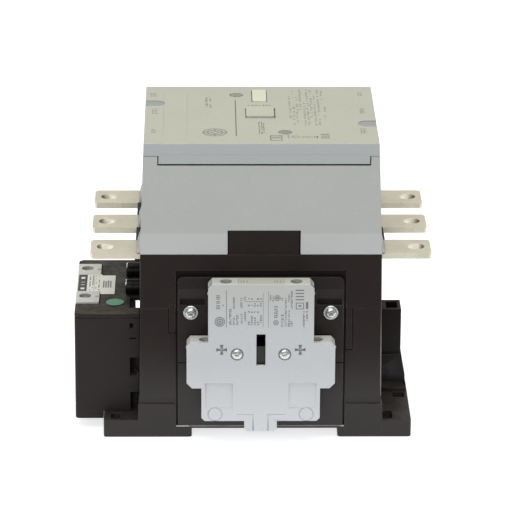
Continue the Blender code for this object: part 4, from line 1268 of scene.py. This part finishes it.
SEAL = (  # radius, z
    (0.0, 82.82), (5.9, 82.82), (6.1, 82.95), (6.0, 83.12), (5.4, 83.19), (0.0, 83.2),
)
seal = shaped("green_seal_skin", lathe(SEAL, "z", (-97.7, -29.8), 56), shade=50)
dress(seal, mat_green, "enclosure", SLOTS["green_seal"], "green_seal")

PLUG = 5.3  # radius
ROUND = 1.2  # radius of the plug's outer rim
profile = [(0.0, -90.95), (PLUG * 0.70, -90.95)]  # radius, x
for degrees in range(15, 91, 15):
    turn = math.radians(degrees)
    profile.append((PLUG - ROUND + ROUND * math.sin(turn), -89.75 - ROUND * math.cos(turn)))
profile += [
    (PLUG, -86.3), (PLUG - 0.25, -86.1), (PLUG - 0.25, -85.7), (PLUG, -85.5), (PLUG, -81.3),
    (2.85, -81.2), (2.85, -78.45), (0.0, -78.45),
]
for i, y in enumerate((-13.7, 19.1), 1):
    node = f"coil_lead_plug_{i}"
    plug = shaped(node + "_skin", lathe(profile, "x", (y, 88.1)), shade=40)
    dress(plug, mat_plug, "enclosure", SLOTS[node], node)


# ------------------------------------------------------------------ springs
def coil(y, z0, z1, radius, wire, turns, per_turn=28, sides=12):
    """An upright coil spring whose end turns lie nearly flat."""
    mesh = bmesh.new()
    count = int(turns * per_turn)
    low, high = z0 + wire, z1 - wire
    end = 0.75 / turns
    rings = []
    for i in range(count + 1):
        t = i / count
        if t < end:
            rise = 0.10 * t / end
        elif t > 1 - end:
            rise = 1 - 0.10 * (1 - t) / end
        else:
            rise = 0.10 + 0.80 * (t - end) / (1 - 2 * end)
        angle = 2 * math.pi * turns * t
        out = Vector((math.cos(angle), math.sin(angle), 0))
        centre = Vector((
            radius * math.cos(angle), y + radius * math.sin(angle), low + (high - low) * rise
        ))
        ring = []
        for k in range(sides):
            turn = 2 * math.pi * k / sides
            lift = Vector((0, 0, wire * math.sin(turn)))
            ring.append(mesh.verts.new(centre + out * wire * math.cos(turn) + lift))
        rings.append(ring)
    for one, two in zip(rings, rings[1:]):
        join_rings(mesh, one, two)
    mesh.faces.new(rings[0][::-1])
    mesh.faces.new(rings[-1])
    return outward(mesh)


def spring(node, shape, body):
    """A coil spring's finished piece on a body, with a mesh of its own."""
    piece = shaped(node + "_skin", shape, shade=60)
    dress(piece, mat_spring, body, "spring_steel", node)
    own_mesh(piece)


for i, side in enumerate(SIDES, 1):
    y = side * POLE_PITCH
    shape = coil(y, 56.3, 100.7, radius=4.8, wire=0.7, turns=6.5)
    spring(f"return_spring_{i}", shape, "enclosure")
for i, pole in enumerate(POLES, 1):
    y = pole * POLE_PITCH
    shape = coil(y, 144.7, 158.7, radius=5.3, wire=0.75, turns=4.0)
    spring(f"contact_spring_{i}", shape, "moving_carrier")

# ------------------------------------------------------------------ other inner pieces
INSIDE = {
    "contact_carrier": mat_carrier, "armature_core": mat_core, "armature_pin": mat_zinc,
    "fixed_core": mat_core, "core_buffer": mat_buffer, "coil_bobbin": mat_bobbin,
    "coil_winding": mat_winding, "coil_module_board": mat_board,
}
for i in (1, 2, 3):
    INSIDE[f"contact_bridge_{i}"] = mat_copper
    for word in ("line", "load"):
        INSIDE[f"{word}_arc_chute_{i}"] = mat_chute
for node, finish in INSIDE.items():
    skin(node, finish, bevel=0.3)


# ------------------------------------------------------------------ floor
def floor_material():
    graph = Graph("studio_floor")
    # Reflections find the table's dark end where the eye, looking down, never reaches.
    mirror_ray = graph.add("ShaderNodeLightPath").outputs["Is Glossy Ray"]
    in_front = graph.span(graph.xyz["Y"], over=(-0.14, -0.40), smooth=True)
    dark_end = graph.times(mirror_ray, in_front)
    cloud = graph.span(graph.noise(scale=3.0, detail=4.0), over=(0.3, 0.7))
    pale = graph.mix(cloud, (0.58, 0.58, 0.59, 1), (0.61, 0.61, 0.62, 1))
    return graph.surface({
        "Base Color": graph.mix(dark_end, pale, (0.06, 0.06, 0.06, 1)),
        "Roughness": 0.9,
        "Specular IOR Level": 0.1,
        "Emission Color": (0.985, 0.99, 1, 1),
        "Emission Strength": graph.span(dark_end, over=(0.0, 1.0), to=(0.72, 0.03)),
    })


floor_data = bpy.data.meshes.new("floor")
grid = bmesh.new()
bmesh.ops.create_grid(grid, x_segments=8, y_segments=8, size=9.0)
grid.to_mesh(floor_data)
grid.free()
floor = bpy.data.objects.new("floor", floor_data)
scene.collection.objects.link(floor)
floor.location = (0, 0, -0.0002)
floor.data.materials.append(floor_material())

# ------------------------------------------------------------------ world: cool to warm sky
world = bpy.data.worlds.new("studio")
scene.world = world
world.use_nodes = True
sky_nodes, sky_links = world.node_tree.nodes, world.node_tree.links
sky = sky_nodes["Background"]
way = sky_nodes.new("ShaderNodeTexCoord")
parts = sky_nodes.new("ShaderNodeSeparateXYZ")
blend = sky_nodes.new("ShaderNodeMix")
blend.data_type = "RGBA"
sky_links.new(way.outputs["Generated"], parts.inputs[0])
sky_links.new(parts.outputs["Z"], blend.inputs[0])
blend.inputs[6].default_value = (0.93, 0.965, 1.0, 1)  # at the horizon
blend.inputs[7].default_value = (1.0, 0.985, 0.87, 1)  # overhead
sky_links.new(blend.outputs[2], sky.inputs[0])
sky.inputs["Strength"].default_value = 0.55


# ------------------------------------------------------------------ lights
def softbox(name, at, aim, size, watts, colour):
    light = bpy.data.lights.new(name, "AREA")
    light.shape = "RECTANGLE"
    light.size, light.size_y = size
    light.energy = watts
    light.color = colour
    lamp = bpy.data.objects.new(name, light)
    scene.collection.objects.link(lamp)
    lamp.location = at
    lamp.rotation_euler = (Vector(aim) - Vector(at)).to_track_quat("-Z", "Y").to_euler()


softbox(
    "overhead", at=(0.0, -0.2, 2.2), aim=(0, 0, 0.1), size=(2.4, 2.4), watts=37.0,
    colour=(1.0, 0.985, 0.885),
)
softbox(
    "rim", at=(-1.15, 0.95, 0.95), aim=(-0.05, 0, 0.1), size=(0.22, 0.22), watts=1.6,
    colour=(1.0, 1.0, 1.0),
)
softbox(
    "front", at=(-0.5, -2.6, 1.2), aim=(0, 0, 0.1), size=(1.8, 1.2), watts=18.0,
    colour=(0.93, 0.965, 1.0),
)

# ------------------------------------------------------------------ camera
camera_data = bpy.data.cameras.new("camera")
camera = bpy.data.objects.new("camera", camera_data)
scene.collection.objects.link(camera)
yaw, pitch, roll = math.radians(1.022), math.radians(20.001), math.radians(0.3167)
ahead = Vector((
    math.sin(yaw) * math.cos(pitch), math.cos(yaw) * math.cos(pitch), -math.sin(pitch)
))
right = Vector((math.cos(yaw), -math.sin(yaw), 0))
up = right.cross(ahead)
across = right * math.cos(roll) + up * math.sin(roll)
upward = -right * math.sin(roll) + up * math.cos(roll)
pose = Matrix((across, upward, -ahead)).transposed().to_4x4()
pose.translation = Vector((-39.716 + CENTRE_X, -2159.76 + CENTRE_Y, 890.364)) * MM
camera.matrix_world = pose
camera_data.sensor_width = 36
camera_data.lens = 235.866408
camera_data.clip_start = 0.1
camera_data.clip_end = 60
scene.camera = camera
scene.view_settings.view_transform = "Standard"
